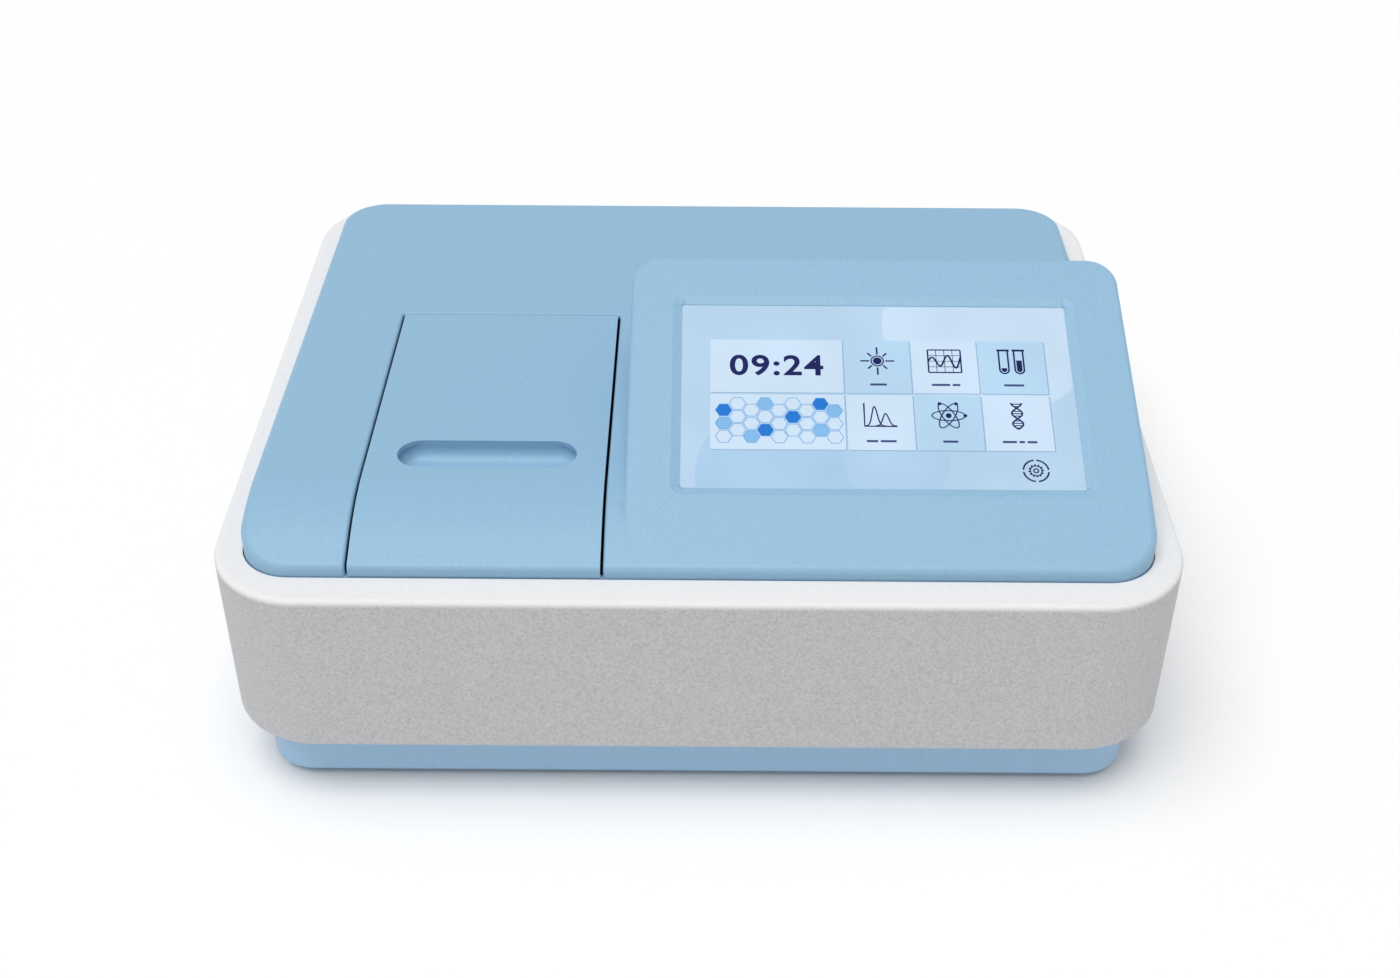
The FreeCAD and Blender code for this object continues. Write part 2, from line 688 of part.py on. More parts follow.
def rounded(x0, x1, y0, y1, radius):
    """A rectangle with round corners: four arcs joined by four tangent lines."""
    x0, x1, y0, y1, radius = [as_size(value) for value in (x0, x1, y0, y1, radius)]
    centres = [(x1 - radius, y1 - radius), (x0 + radius, y1 - radius),
               (x0 + radius, y0 + radius), (x1 - radius, y0 + radius)]

    def draw(sketch):
        first = sketch.GeometryCount
        r = radius.value
        ends = []
        for quarter, (x, y) in enumerate(centres):
            start = math.pi / 2 * quarter
            centre = FreeCAD.Vector(x.value, y.value, 0)
            ring = Part.Circle(centre, FreeCAD.Vector(0, 0, 1), r)
            sketch.addGeometry(Part.ArcOfCircle(ring, start, start + math.pi / 2), False)
            ends.append([centre + FreeCAD.Vector(r * math.cos(a), r * math.sin(a), 0)
                         for a in (start, start + math.pi / 2)])
        for quarter in range(4):
            line = Part.LineSegment(ends[quarter][1], ends[(quarter + 1) % 4][0])
            sketch.addGeometry(line, False)
        for quarter in range(4):
            arc, line = first + quarter, first + 4 + quarter
            after = first + (quarter + 1) % 4
            sketch.addConstraint(Sketcher.Constraint("Tangent", arc, 2, line, 1))
            sketch.addConstraint(Sketcher.Constraint("Tangent", line, 2, after, 1))
            kind = "Horizontal" if quarter % 2 == 0 else "Vertical"
            sketch.addConstraint(Sketcher.Constraint(kind, line))
        for quarter in range(3):
            sketch.addConstraint(
                Sketcher.Constraint("Equal", first, first + quarter + 1))
        index = sketch.addConstraint(Sketcher.Constraint("Radius", first, r))
        sketch.setExpression(f"Constraints[{index}]", radius.text)
        tie(sketch, "DistanceX", first, 3, centres[0][0])
        tie(sketch, "DistanceY", first, 3, centres[0][1])
        tie(sketch, "DistanceX", first + 2, 3, centres[2][0])
        tie(sketch, "DistanceY", first + 2, 3, centres[2][1])

    return draw


def obround(x, y, length, width):
    """A slot with half-round ends, lying along x."""
    x, y, radius = as_size(x), as_size(y), as_size(width) / 2
    reach = as_size(length) / 2 - radius

    def draw(sketch):
        first = sketch.GeometryCount
        r, half = radius.value, math.pi / 2
        for centre, start in ((x + reach, -half), (x - reach, half)):
            spot = FreeCAD.Vector(centre.value, y.value, 0)
            ring = Part.Circle(spot, FreeCAD.Vector(0, 0, 1), r)
            sketch.addGeometry(Part.ArcOfCircle(ring, start, start + math.pi), False)
        for sign in (1, -1):
            start = FreeCAD.Vector((x + sign * reach).value, y.value + sign * r, 0)
            end = FreeCAD.Vector((x - sign * reach).value, y.value + sign * r, 0)
            sketch.addGeometry(Part.LineSegment(start, end), False)
        right, left, upper, lower = range(first, first + 4)
        for one, other in ((right, upper), (upper, left), (left, lower), (lower, right)):
            sketch.addConstraint(Sketcher.Constraint("Tangent", one, 2, other, 1))
        sketch.addConstraint(Sketcher.Constraint("Horizontal", upper))
        index = sketch.addConstraint(Sketcher.Constraint("Radius", right, r))
        sketch.setExpression(f"Constraints[{index}]", radius.text)
        for arc, centre in ((right, x + reach), (left, x - reach)):
            tie(sketch, "DistanceX", arc, 3, centre)
            tie(sketch, "DistanceY", arc, 3, y)

    return draw


def along(axis, length=1.0):
    """A test for straight edges that run along an axis and are at least that long."""
    direction = {"X": FreeCAD.Vector(1, 0, 0), "Y": FreeCAD.Vector(0, 1, 0),
                 "Z": FreeCAD.Vector(0, 0, 1)}[axis]

    def chosen(edge):
        if edge.Curve.TypeId != "Part::GeomLine" or edge.Length < length:
            return False
        return abs(abs(edge.Curve.Direction.dot(direction)) - 1) < 1e-6

    return chosen


def at_height(z, tolerance=0.01):
    """A test for edges that lie flat at one height."""

    def chosen(edge):
        box = edge.BoundBox
        return abs(box.ZMin - z.value) < tolerance and abs(box.ZMax - z.value) < tolerance

    return chosen


def boolean(kind, label, base, tool):
    result = doc.addObject(f"Part::{kind}", label)
    result.Label = label
    result.Base = base
    result.Tool = tool
    return result


nodes = []


def node(thing):
    """Enter a finished sub-part in the list of those that are written out."""
    nodes.append(thing.body if isinstance(thing, Piece) else thing)
    return thing


# The plinth: a moulded tray whose floor carries the bench and the electronics.
def base_tray():
    tray = Piece("base_tray")
    x = case_width / 2 - plinth_inset
    y = case_depth / 2 - plinth_inset
    tray.add("Z", plinth_bottom, belt_bottom, rounded(-x, x, -y, y, plinth_corner))
    tray.round(plinth_edge, at_height(plinth_bottom))
    tray.cut("Z", tray_floor, belt_bottom,
             rounded(-x + plinth_wall, x - plinth_wall, -y + plinth_wall, y - plinth_wall,
                     plinth_corner - plinth_wall))
    for x, y in bench_corners():
        tray.add("Z", tray_floor, bench_level, circle(x, y, boss_radius))
    slots = tray_slot_count
    for i in range(slots):
        x = tray_slot_x + tray_slot_pitch * i
        tray.cut("Z", plinth_bottom, tray_floor,
                 rectangle(x, x + tray_slot_width, tray_slot_y, tray_slot_y + tray_slot_length))
    return node(tray)


def bench_corners():
    """Where the bench stands on its bosses and is screwed down."""
    x = bench_half_width - boss_inset
    ys = bench_front + boss_inset, bench_back - boss_inset
    return [(sign * x, y) for y in ys for sign in (-1, 1)]


# Four rubber feet, slightly tapered, under the corners of the plinth.
def rubber_feet():
    feet = []
    x = case_width / 2 - foot_inset
    y = case_depth / 2 - foot_inset
    for i, (sx, sy) in enumerate([(-1, -1), (1, -1), (1, 1), (-1, 1)]):
        foot = Piece(f"foot_{i + 1}")
        foot.turn(polygon((0, 0), (foot_radius - foot_taper, 0), (foot_radius, foot_height),
                          (0, foot_height)))
        foot.place(sx * x, sy * y, 0)
        feet.append(foot.body)
    return node(group("rubber_feet", feet))


def group(label, things):
    """Several equal solids under one name."""
    compound = doc.addObject("Part::Compound", label)
    compound.Label = label
    compound.Links = things
    return compound


# The belt: the grey-white shell round the middle, with a rim at the top that frames the
# cover and an inward flange at the bottom that rests on the plinth.
def belt_shell():
    belt = Piece("belt_shell")
    x, y = case_width / 2, case_depth / 2
    belt.add("Z", belt_bottom, rim, rounded(-x, x, -y, y, belt_corner))
    belt.round(belt_edge, lambda edge: at_height(rim)(edge) or at_height(belt_bottom)(edge))
    inner = x - belt_wall, y - belt_wall
    belt.cut("Z", belt_bottom + belt_wall, rim - belt_wall,
             rounded(-inner[0], inner[0], -inner[1], inner[1], belt_corner - belt_wall))
    side, low, high = x - band_side, -y + band_front, y - band_back
    belt.add("Z", rim - recess_drop - belt_wall, rim - belt_wall,
             rounded(-side - skirt_wall, side + skirt_wall, low - skirt_wall,
                     high + skirt_wall, recess_corner + skirt_wall))
    belt.cut("Z", rim - recess_drop, rim, rounded(-side, side, low, high, recess_corner))
    belt.cut("Z", rim - recess_drop - belt_wall, rim - recess_drop,
             rounded(recess_lip - side, side - recess_lip, low + recess_lip,
                     high - recess_lip, recess_corner - recess_lip))
    floor = x - plinth_inset - recess_lip, y - plinth_inset - recess_lip
    belt.cut("Z", belt_bottom, belt_bottom + belt_wall,
             rounded(-floor[0], floor[0], -floor[1], floor[1], plinth_corner))
    edge = panel_width / 2 - panel_border
    belt.cut("Y", panel_face, back,
             rounded(panel_x - edge, panel_x + edge, panel_level + panel_border,
                     panel_level + panel_height - panel_border, panel_corner))
    for x, z in panel_screw_places():
        belt.cut("Y", panel_face, back, circle(x, z, panel_screw_radius + screw_clearance))
        belt.cut("Y", back - screw_head, back, circle(x, z, 2 * panel_screw_radius + screw_clearance))
    return node(belt)


# The form of the cover: rounded in plan, and in side view a front slope that turns over a
# soft crest into a top that falls gently to the back.  The wedge for the display goes on
# up the plane of the slope.  Inset by the wall, the same form is the hollow inside.
def cover_form(label, inset):
    slope_down = inset / cosine(slope_tilt)
    fall_down = inset / cosine(top_fall)
    tilts = tangent(slope_tilt) + tangent(top_fall)
    turn_y = crest_y + (slope_down - fall_down) / tilts
    turn_z = crest_z - slope_down + (turn_y - crest_y) * tangent(slope_tilt)
    side, low, high = cover_side - inset, cover_front + inset, cover_back - inset
    corner = recess_corner - cover_gap - inset
    sky = rim + blank_height

    shell = Piece(f"{label}_shell")
    shell.add("Z", cover_bottom - inset, sky, rounded(-side, side, low, high, corner))
    over = tool_overrun
    shell.cut("X", -side - over, side + over, polygon(
        (low - over, turn_z - (turn_y - low + over) * tangent(slope_tilt)),
        (turn_y, turn_z),
        (high + over, turn_z - (high + over - turn_y) * tangent(top_fall)),
        (high + over, sky + over), (low - over, sky + over)))
    shell.round(crest_radius - inset, lambda edge: along("X", long_edge)(edge)
                and abs(edge.BoundBox.YMin - turn_y.value) < 0.1)

    wedge = Piece(f"{label}_wedge")
    left = cover_side - wedge_width + inset
    start, end = cover_front + wedge_start, cover_front + wedge_run - inset
    wedge.add("Z", rim, sky, rectangle(left, side, start, end))
    wedge.round(wedge_corner - inset, lambda edge: along("Z")(edge)
                and edge.BoundBox.YMin > end.value - 1)
    wedge.cut("X", left - over, side + over, polygon(
        (start - over, turn_z - (turn_y - start + over) * tangent(slope_tilt)),
        (end + over, turn_z + (end + over - turn_y) * tangent(slope_tilt)),
        (end + over, sky + over), (start - over, sky + over)))
    foot = rim + cover_front_rise + wedge_start * tangent(slope_tilt)
    wedge.cut("Y", start - over, end + over, polygon(
        (side, foot), (side + over, foot), (side + over, sky + over),
        (side - (sky + over - foot) * tangent(wedge_lean), sky + over)))
    if inset.value == 0:
        round_outline(shell, turn_y)
        wedge.round(wedge_edge, lambda edge: not along("Z")(edge)
                    and edge.BoundBox.ZMin > rim.value + 1
                    and edge.BoundBox.YMax > start.value + 1
                    and on_slope(edge))
    return boolean("Fuse", label, shell.body, wedge.body)


def on_slope(edge):
    """A test for edges that lie in the plane of the slope."""
    rises = [vertex.Z - (vertex.Y - cover_front.value) * tangent(slope_tilt).value
             for vertex in edge.Vertexes]
    return all(abs(rise - rim.value - cover_front_rise.value) < 0.01 for rise in rises)


def round_outline(shell, turn_y):
    """Round the whole outline of the top, but not the lines where the crest begins."""
    reach = crest_reach().value + 0.1

    def chosen(edge):
        box = edge.BoundBox
        crest_line = along("X", long_edge)(edge) and abs(box.YMin - turn_y.value) < reach
        return box.ZMin > rim.value + 1 and not along("Z")(edge) and not crest_line

    shell.round(cover_edge, chosen)


# The blue cover: the form less its hollow, with the mouth that the lid closes and the
# window of the display in its shallow bezel.
def top_cover():
    outer = cover_form("cover_outside", as_size(0))
    hollow = cover_form("cover_hollow", cover_wall)
    shell = boolean("Cut", "cover_shell", outer, hollow)

    mouth = Piece("cover_mouth")
    half = lid_width / 2 + lid_gap
    mouth.add("Z", rim, rim + blank_height, rectangle(lid_centre - half, lid_centre + half,
                                                      front, lid_back + lid_gap))
    opened = round_mouth(boolean("Cut", "cover_with_mouth", shell, mouth.body), half)

    window = Piece("cover_window")
    left, right, low, high = window_edges()
    window.add("Z", -2 * cover_wall, 0, rounded(left, right, low, high, window_corner))
    bevel = window.add("Z", -bezel_drop, bezel_drop / 4,
                       rounded(left, right, low, high, window_corner))
    bevel.TaperAngle = math.degrees(math.atan2(bezel_border.value, bezel_drop.value))
    bevel.setExpression("TaperAngle", f"atan({(bezel_border / bezel_drop).text})")
    window.add("Z", -2 * cover_wall, glass_face(),
               rounded(*grown(window_edges(), glass_border + fit_gap), glass_corner + fit_gap))
    window.place(*slope_place())
    return node(boolean("Cut", "top_cover", opened, window.body))


def round_mouth(shell, half):
    """Soften the outer edge of the mouth on its two sides and at its back."""
    doc.recompute()
    sides = (lid_centre - half).value, (lid_centre + half).value
    end = (lid_back + lid_gap).value
    deep = cover_wall.value

    def chosen(edge):
        spot = edge.valueAt((edge.FirstParameter + edge.LastParameter) / 2)
        flat = edge.BoundBox.XLength < 0.01 and min(abs(spot.x - x) for x in sides) < 0.01
        across = edge.BoundBox.YLength < 0.01 and abs(spot.y - end) < 0.01
        slope = rim + cover_front_rise + (spot.y - cover_front) * tangent(slope_tilt)
        top = crest_z - (spot.y - crest_y) * tangent(top_fall)
        return (flat or across) and min(slope.value, top.value) - spot.z < deep - 0.1

    fillet = doc.addObject("Part::Fillet", "cover_mouth_edge")
    fillet.Base = shell
    fillet.Edges = [(i + 1, mouth_edge.value, mouth_edge.value)
                    for i, edge in enumerate(shell.Shape.Edges) if chosen(edge)]
    return fillet


def glass_face():
    """The front of the touch glass, seated in a pocket behind the window."""
    return glass_seat - cover_wall


def slope_place():
    """The frame of the slope: x across, y up the slope from its front edge, z outwards."""
    return 0, cover_front, rim + cover_front_rise, (1, 0, 0), slope_tilt


def window_edges():
    right = cover_side - window_side_margin
    high = wedge_run / cosine(slope_tilt) - window_top_margin
    return right - window_width, right, high - window_height, high


def grown(edges, border):
    left, right, low, high = edges
    return left - border, right + border, low - border, high + border


# The display, from the front: touch glass, liquid-crystal module, the sheet-metal pan
# that holds both against the cover, and the driver board on the back of the pan.
def touch_glass():
    glass = Piece("touch_glass")
    glass.add("Z", glass_face() - glass_thickness, glass_face(),
              rounded(*grown(window_edges(), glass_border), glass_corner))
    return node(glass.place(*slope_place()))


def lcd_module():
    module = Piece("lcd_module")
    top = glass_face() - glass_thickness
    left, right, low, high = grown(window_edges(), lcd_border)
    module.add("Z", top - lcd_thickness, top, rectangle(left, right, low, high))
    return node(module.place(*slope_place()))


def display_pan():
    pan = Piece("display_pan")
    top = -cover_wall
    floor = glass_face() - glass_thickness - lcd_thickness
    edges = window_edges()
    pan.add("Z", floor - pan_sheet, top, rounded(*grown(edges, pan_border), pan_corner))
    pan.cut("Z", floor, top, rounded(*grown(edges, pan_border - pan_sheet),
                                     pan_corner - pan_sheet))
    left, right, low, high = grown(edges, -post_inset)
    for x in (left, right):
        for y in (low, high):
            pan.add("Z", floor - pan_sheet - post_height, floor - pan_sheet, circle(x, y, post_radius))
    return node(pan.place(*slope_place()))


def display_board():
    board = Piece("display_board")
    top = glass_face() - glass_thickness - lcd_thickness - pan_sheet - post_height
    left, right, low, high = grown(window_edges(), -driver_inset)
    board.add("Z", top - board_thickness, top, rounded(left, right, low, high, driver_corner))
    x, y, half = (left + right) / 2, (low + high) / 2, chip_size / 2
    board.add("Z", top - board_thickness - chip_height, top - board_thickness,
              rectangle(x - half, x + half, y - half, y + half))
    plug = left + plug_inset
    board.add("Z", top - board_thickness - plug_height, top - board_thickness,
              rectangle(plug, plug + plug_width, y - plug_length / 2, y + plug_length / 2))
    return node(board.place(*slope_place()))


# The lid: the same front wall, slope and top as the cover beside it, so that it closes
# flush.  Under it are a frame that shuts out light, the cup of the finger recess and two
# ears that turn on the hinge pins.
def sample_lid():
    lid = Piece("sample_lid")
    left, right = lid_centre - lid_width / 2, lid_centre + lid_width / 2
    slope, fall = tangent(slope_tilt), tangent(top_fall)
    slope_down, fall_down = lid_wall / cosine(slope_tilt), lid_wall / cosine(top_fall)
    foot = rim + lid_foot_gap
    turn_y = crest_y + (slope_down - fall_down) / (slope + fall)
    lid.add("X", left, right, polygon(
        (cover_front, foot),
        (cover_front, rim + cover_front_rise),
        (crest_y, crest_z),
        (lid_back, crest_z - (lid_back - crest_y) * fall),
        (lid_back, crest_z - (lid_back - crest_y) * fall - fall_down),
        (turn_y, crest_z - slope_down + (turn_y - crest_y) * slope),
        (cover_front + lid_wall, rim + cover_front_rise + lid_wall * slope - slope_down),
        (cover_front + lid_wall, foot)))
    lid.round(crest_radius - lid_wall, lambda edge: along("X", long_edge)(edge)
              and abs(edge.BoundBox.YMin - turn_y.value) < 0.1
              and edge.BoundBox.ZMin < crest_z.value - 1)
    lid.round(crest_radius, lambda edge: along("X", long_edge)(edge)
              and abs(edge.BoundBox.ZMin - crest_z.value) < 0.01)
    lid.round(cover_edge - lid_edge_relief, lambda edge: along("X", long_edge)(edge)
              and abs(edge.BoundBox.YMin - cover_front.value) < 0.01
              and edge.BoundBox.ZMin > rim.value + 5)
    underside(lid)
    finger_cup(lid)
    for sign in (-1, 1):
        ear = lid_centre + sign * (lid_width / 2 - hinge_ear_inset)
        low, high = ear - hinge_ear_thickness / 2, ear + hinge_ear_thickness / 2
        top = hinge_z + hinge_drop - lid_wall / 2
        lid.add("X", low, high, rectangle(hinge_y - hinge_ear_radius, hinge_y + hinge_ear_radius,
                                          hinge_z, top))
        lid.add("X", low, high, circle(hinge_y, hinge_z, hinge_ear_radius))
        lid.cut("X", low, high, circle(hinge_y, hinge_z, hinge_pin_radius + hinge_clearance))
    return node(lid)


def crest_reach():
    """From where the crest turns, how far its arc goes along the slope and along the top."""
    return crest_radius * tangent((slope_tilt + top_fall) / 2)


def under_lid(y):
    """The middle of the lid's wall at a place on its slope, its crest or its top."""
    reach = crest_reach()
    if y.value <= (crest_y - reach * cosine(slope_tilt)).value:
        half = lid_wall / 2 / cosine(slope_tilt)
        return crest_z - half - (crest_y - y) * tangent(slope_tilt)
    if y.value >= (crest_y + reach * cosine(top_fall)).value:
        return crest_z - lid_wall / 2 / cosine(top_fall) - (y - crest_y) * tangent(top_fall)
    across = y - crest_y + reach * cosine(slope_tilt) - crest_radius * sine(slope_tilt)
    middle = crest_radius - lid_wall / 2
    centre = crest_z - reach * sine(slope_tilt) - crest_radius * cosine(slope_tilt)
    return centre + root(middle * middle - across * across)


def underside(lid):
    """The four walls that stand on the seal and keep light out of the compartment."""
    low = well_top + seal_thickness + lid_foot_gap
    reach = well_wall + seal_width / 2 + lid_frame_wall / 2
    left, right = lid_centre - well_width / 2 - reach, lid_centre + well_width / 2 + reach
    y0, y1 = well_front - reach, well_back + reach
    arc_start, arc_end = crest_y - crest_reach() * cosine(slope_tilt), crest_y + crest_reach()
    turns = [arc_end + (arc_start - arc_end) * (i / crest_steps) for i in range(crest_steps + 1)]
    outline = [(y0, low), (y1, low)] + [(y, under_lid(y)) for y in [y1, *turns, y0]]
    lid.add("X", left, left + lid_frame_wall, polygon(*outline))
    lid.add("X", right - lid_frame_wall, right, polygon(*outline))
    for start in (y0, y1 - lid_frame_wall):
        end = start + lid_frame_wall
        lid.add("X", left, right, polygon((start, low), (end, low), (end, under_lid(end)),
                                          (start, under_lid(start))))


def finger_cup(lid):
    y = cover_front + recess_run
    top = crest_z - (y - crest_y) * tangent(top_fall)
    floor = top - lid_wall - recess_depth
    length = recess_length + 2 * recess_undercut
    lid.add("Z", floor - recess_wall, top - lid_wall / 2,
            obround(lid_centre, y, length + 2 * recess_wall, recess_width + 2 * recess_wall))
    lid.cut("Z", floor, top - lid_wall, obround(lid_centre, y, length, recess_width))
    lid.cut("Z", top - 2 * lid_wall, top + lid_wall,
            obround(lid_centre, y, recess_length, recess_width))
    lid.round(recess_scoop, lambda edge: at_height(floor)(edge)
              and edge.BoundBox.XLength < length.value)


# The hinge: a bracket screwed to the back of the compartment, with two arms that carry
# the pin.  The ears of the lid turn on the pin just inside the arms.
def hinge_bracket():
    bracket = Piece("hinge_bracket")
    wall = well_back + well_wall
    low, high = well_top - hinge_plate_drop - hinge_plate_height, well_top - hinge_plate_drop
    reach = lid_width / 2 - hinge_ear_inset + hinge_ear_thickness / 2 + arm_gap + hinge_arm
    bracket.add("Y", wall, wall + hinge_plate, rectangle(lid_centre - reach, lid_centre + reach, low, high))
    for sign in (-1, 1):
        ends = [lid_centre + sign * (reach - hinge_arm), lid_centre + sign * reach]
        x0, x1 = (ends[0], ends[1]) if sign > 0 else (ends[1], ends[0])
        bracket.add("X", x0, x1, polygon(
            (wall, low), (hinge_y + hinge_ear_radius, low + hinge_plate_height / 2),
            (hinge_y + hinge_ear_radius, hinge_z), (hinge_y - hinge_ear_radius, hinge_z),
            (hinge_y - hinge_ear_radius, high), (wall, high)))
        bracket.add("X", x0, x1, circle(hinge_y, hinge_z, hinge_ear_radius))
        bracket.cut("X", x0, x1, circle(hinge_y, hinge_z, hinge_pin_radius))
    return node(bracket)


def hinge_pin():
    pin = Piece("hinge_pin")
    reach = lid_width / 2 - hinge_ear_inset + hinge_ear_thickness / 2 + arm_gap + hinge_arm
    pin.turn(rectangle(0, hinge_pin_radius, -reach, reach))
    return node(pin.place(lid_centre, hinge_y, hinge_z, (0, 1, 0), as_size(90)))


# The optical bench: a stiff ribbed plate that keeps the optics in line.
def optical_bench():
    bench = Piece("optical_bench")
    x = bench_half_width
    bench.add("Z", bench_level, bench_top, rounded(-x, x, bench_front, bench_back, bench_corner))
    ribs = 5
    for i in range(ribs):
        y = bench_front + (bench_back - bench_front) * (i + 0.5) / ribs
        bench.add("Z", bench_level - rib_depth, bench_level,
                  rectangle(-x + 2 * boss_inset, x - 2 * boss_inset, y - rib_width / 2, y + rib_width / 2))
    for x, y in bench_corners():
        bench.cut("Z", bench_level, bench_top, circle(x, y, bench_bolt_radius + screw_clearance))
    return node(bench)


# The sample compartment: a black box with beam ports in both side walls, a flange round
# its mouth and the foam seal that the lid closes on.
def compartment_well():
    well = Piece("compartment_well")
    left, right = lid_centre - well_width / 2, lid_centre + well_width / 2
    wall = well_wall
    well.add("Z", bench_top, well_top, rounded(left - wall, right + wall, well_front - wall,
                                               well_back + wall, well_corner + wall))
    edge = wall + well_flange
    well.add("Z", well_top - flange_thickness, well_top,
             rounded(left - edge, right + edge, well_front - edge, well_back + edge,
                     well_corner + edge))
    well.cut("Z", bench_top + well_floor, well_top,
             rounded(left, right, well_front, well_back, well_corner))
    well.cut("Z", bench_top, bench_top + well_floor - wall,
             rounded(left, right, well_front, well_back, well_corner))
    for line in (sample_line, reference_line):
        well.cut("X", left - wall, right + wall, circle(line, beam_level, port_radius))
    return node(well)


def lid_seal():
    seal = Piece("lid_seal")
    left, right = lid_centre - well_width / 2 - well_wall, lid_centre + well_width / 2 + well_wall
    low, high = well_front - well_wall, well_back + well_wall
    corner = well_corner + well_wall
    seal.add("Z", well_top, well_top + seal_thickness,
             rounded(left - seal_width, right + seal_width, low - seal_width,
                     high + seal_width, corner + seal_width))
    seal.cut("Z", well_top, well_top + seal_thickness, rounded(left, right, low, high, corner))
    return node(seal)


def beam_windows():
    windows = []
    for i, line in enumerate((sample_line, reference_line)):
        for sign in (-1, 1):
            pane = Piece(f"beam_window_{i}_{'left' if sign < 0 else 'right'}")
            pane.turn(rectangle(0, beam_window_radius, 0, beam_window_thickness))
            x = lid_centre + sign * (well_width / 2 + well_wall)
            pane.place(x, line, beam_level, (0, 1, 0), as_size(90 * sign))
            windows.append(pane.body)
    return node(group("beam_windows", windows))


# The cuvette holders stand on a plate that lifts out of the compartment.
def cell_carrier():
    plate = Piece("cell_carrier")
    x, low = carrier_width / 2, bench_top + well_floor
    plate.add("Z", low, low + carrier_thickness,
              rounded(lid_centre - x, lid_centre + x, well_front + carrier_margin,
                      well_back - carrier_margin, carrier_corner))
    return node(plate)


def cell_holder(label, line):
    holder = Piece(label)
    x, y = holder_width / 2, holder_depth / 2
    low = bench_top + well_floor + carrier_thickness
    top = low + holder_height
    holder.add("Z", low, top, rounded(lid_centre - x, lid_centre + x, line - y, line + y, holder_edge))
    slot = cuvette_slot / 2
    holder.cut("Z", top - cuvette_depth, top,
               rectangle(lid_centre - slot, lid_centre + slot, line - slot, line + slot))
    holder.cut("X", lid_centre - x, lid_centre + x, circle(line, beam_level, aperture_radius))
    holder.cut("Y", line - y, line - slot, rectangle(lid_centre - slot / 2, lid_centre + slot / 2,
                                                     top - cuvette_depth, top))
    return node(holder)


# The rear panel: a steel sheet behind the opening in the back of the belt, cut out for
# the fan, the power inlet, the switch, the data sockets and a row of air slots.
def panel_screw_places():
    x = panel_width / 2 - panel_border / 2
    heights = panel_level + panel_border / 2, panel_level + panel_height - panel_border / 2
    return [(panel_x + across * x, z) for z in heights for across in (-1, 0, 1)]


def rear_panel():
    panel = Piece("rear_panel")
    x = panel_width / 2
    panel.add("Y", panel_back, panel_face, rectangle(panel_x - x, panel_x + x, panel_level,
                                                     panel_level + panel_height))
    panel.cut("Y", panel_back, panel_face, circle(fan_x, panel_middle, fan_bore))
    for x, z in fan_screw_places():
        panel.cut("Y", panel_back, panel_face, circle(x, z, fan_screw_radius + screw_clearance))
    for x, z in panel_screw_places():
        panel.cut("Y", panel_back, panel_face, circle(x, z, panel_screw_radius + screw_clearance))
    for x, width, height in ((inlet_x, inlet_width, inlet_height),
                             (switch_x, switch_width, switch_height),
                             (serial_x, serial_width, serial_height),
                             (usb_x, usb_width, usb_height)):
        half, rise = width / 2 + fit_gap / 2, height / 2 + fit_gap / 2
        panel.cut("Y", panel_back, panel_face,
                  rectangle(x - half, x + half, panel_middle - rise, panel_middle + rise))
    for i in range(vent_count):
        x = vent_x + vent_pitch * i
        panel.cut("Y", panel_back, panel_face, rectangle(
            x, x + vent_width, panel_middle - vent_height / 2, panel_middle + vent_height / 2))
    return node(panel)


def fan_screw_places():
    reach = fan_size / 2 - fan_screw_inset
    return [(fan_x + sx * reach, panel_middle + sz * reach) for sx in (-1, 1) for sz in (-1, 1)]


def small_screw(label, radius, head_radius, head_height, length):
    """A screw with its head above z = 0 and its shank below."""
    screw = Piece(label)
    screw.turn(polygon((0, -length), (radius, -length), (radius, 0), (head_radius, 0),
                       (head_radius, head_height * 0.5), (head_radius * 0.7, head_height),
                       (0, head_height)))
    return screw


def panel_screws():
    screws = []
    for i, (x, z) in enumerate(panel_screw_places()):
        screw = small_screw(f"panel_screw_{i + 1}", panel_screw_radius, 2 * panel_screw_radius,
                            screw_head, belt_wall + panel_sheet)
        screws.append(screw.place(x, back - screw_head, z, (1, 0, 0), as_size(-90)).body)
    return node(group("panel_screws", screws))


def bench_screws():
    screws = []
    for i, (x, y) in enumerate(bench_corners()):
        screw = small_screw(f"bench_screw_{i + 1}", bench_bolt_radius, 2 * bench_bolt_radius,
                            screw_head, bench_thickness)
        screws.append(screw.place(x, y, bench_top).body)
    return node(group("bench_screws", screws))


# The cooling fan: a square frame with a bored duct and a hub on four spokes, a rotor with
# pitched blades, and a guard of rings and spokes outside.
def fan_frame():
    frame = Piece("fan_frame")
    half, y1 = fan_size / 2, panel_back
    y0 = y1 - fan_thickness
    frame.add("Y", y0, y1, rounded(fan_x - half, fan_x + half, panel_middle - half,
                                   panel_middle + half, fan_corner))
    frame.cut("Y", y0 + fan_floor, y1, circle(fan_x, panel_middle, fan_bore))
    inner = fan_hub_radius
    gap = fan_spoke / 2
    for sx in (-1, 1):
        for sz in (-1, 1):
            near = [fan_x + sx * gap, panel_middle + sz * gap]
            far = [fan_x + sx * fan_opening, panel_middle + sz * fan_opening]
            x0, x1 = (near[0], far[0]) if sx > 0 else (far[0], near[0])
            z0, z1 = (near[1], far[1]) if sz > 0 else (far[1], near[1])
            frame.cut("Y", y0, y0 + fan_floor, rectangle(x0, x1, z0, z1))
    frame.add("Y", y0, y0 + fan_floor, circle(fan_x, panel_middle, inner))
    frame.add("Y", y0 + fan_floor, y0 + fan_floor + fan_axle_length,
              circle(fan_x, panel_middle, shaft_radius))
    for x, z in fan_screw_places():
        frame.cut("Y", y0, y1, circle(x, z, fan_screw_radius + screw_clearance))
    return node(frame)


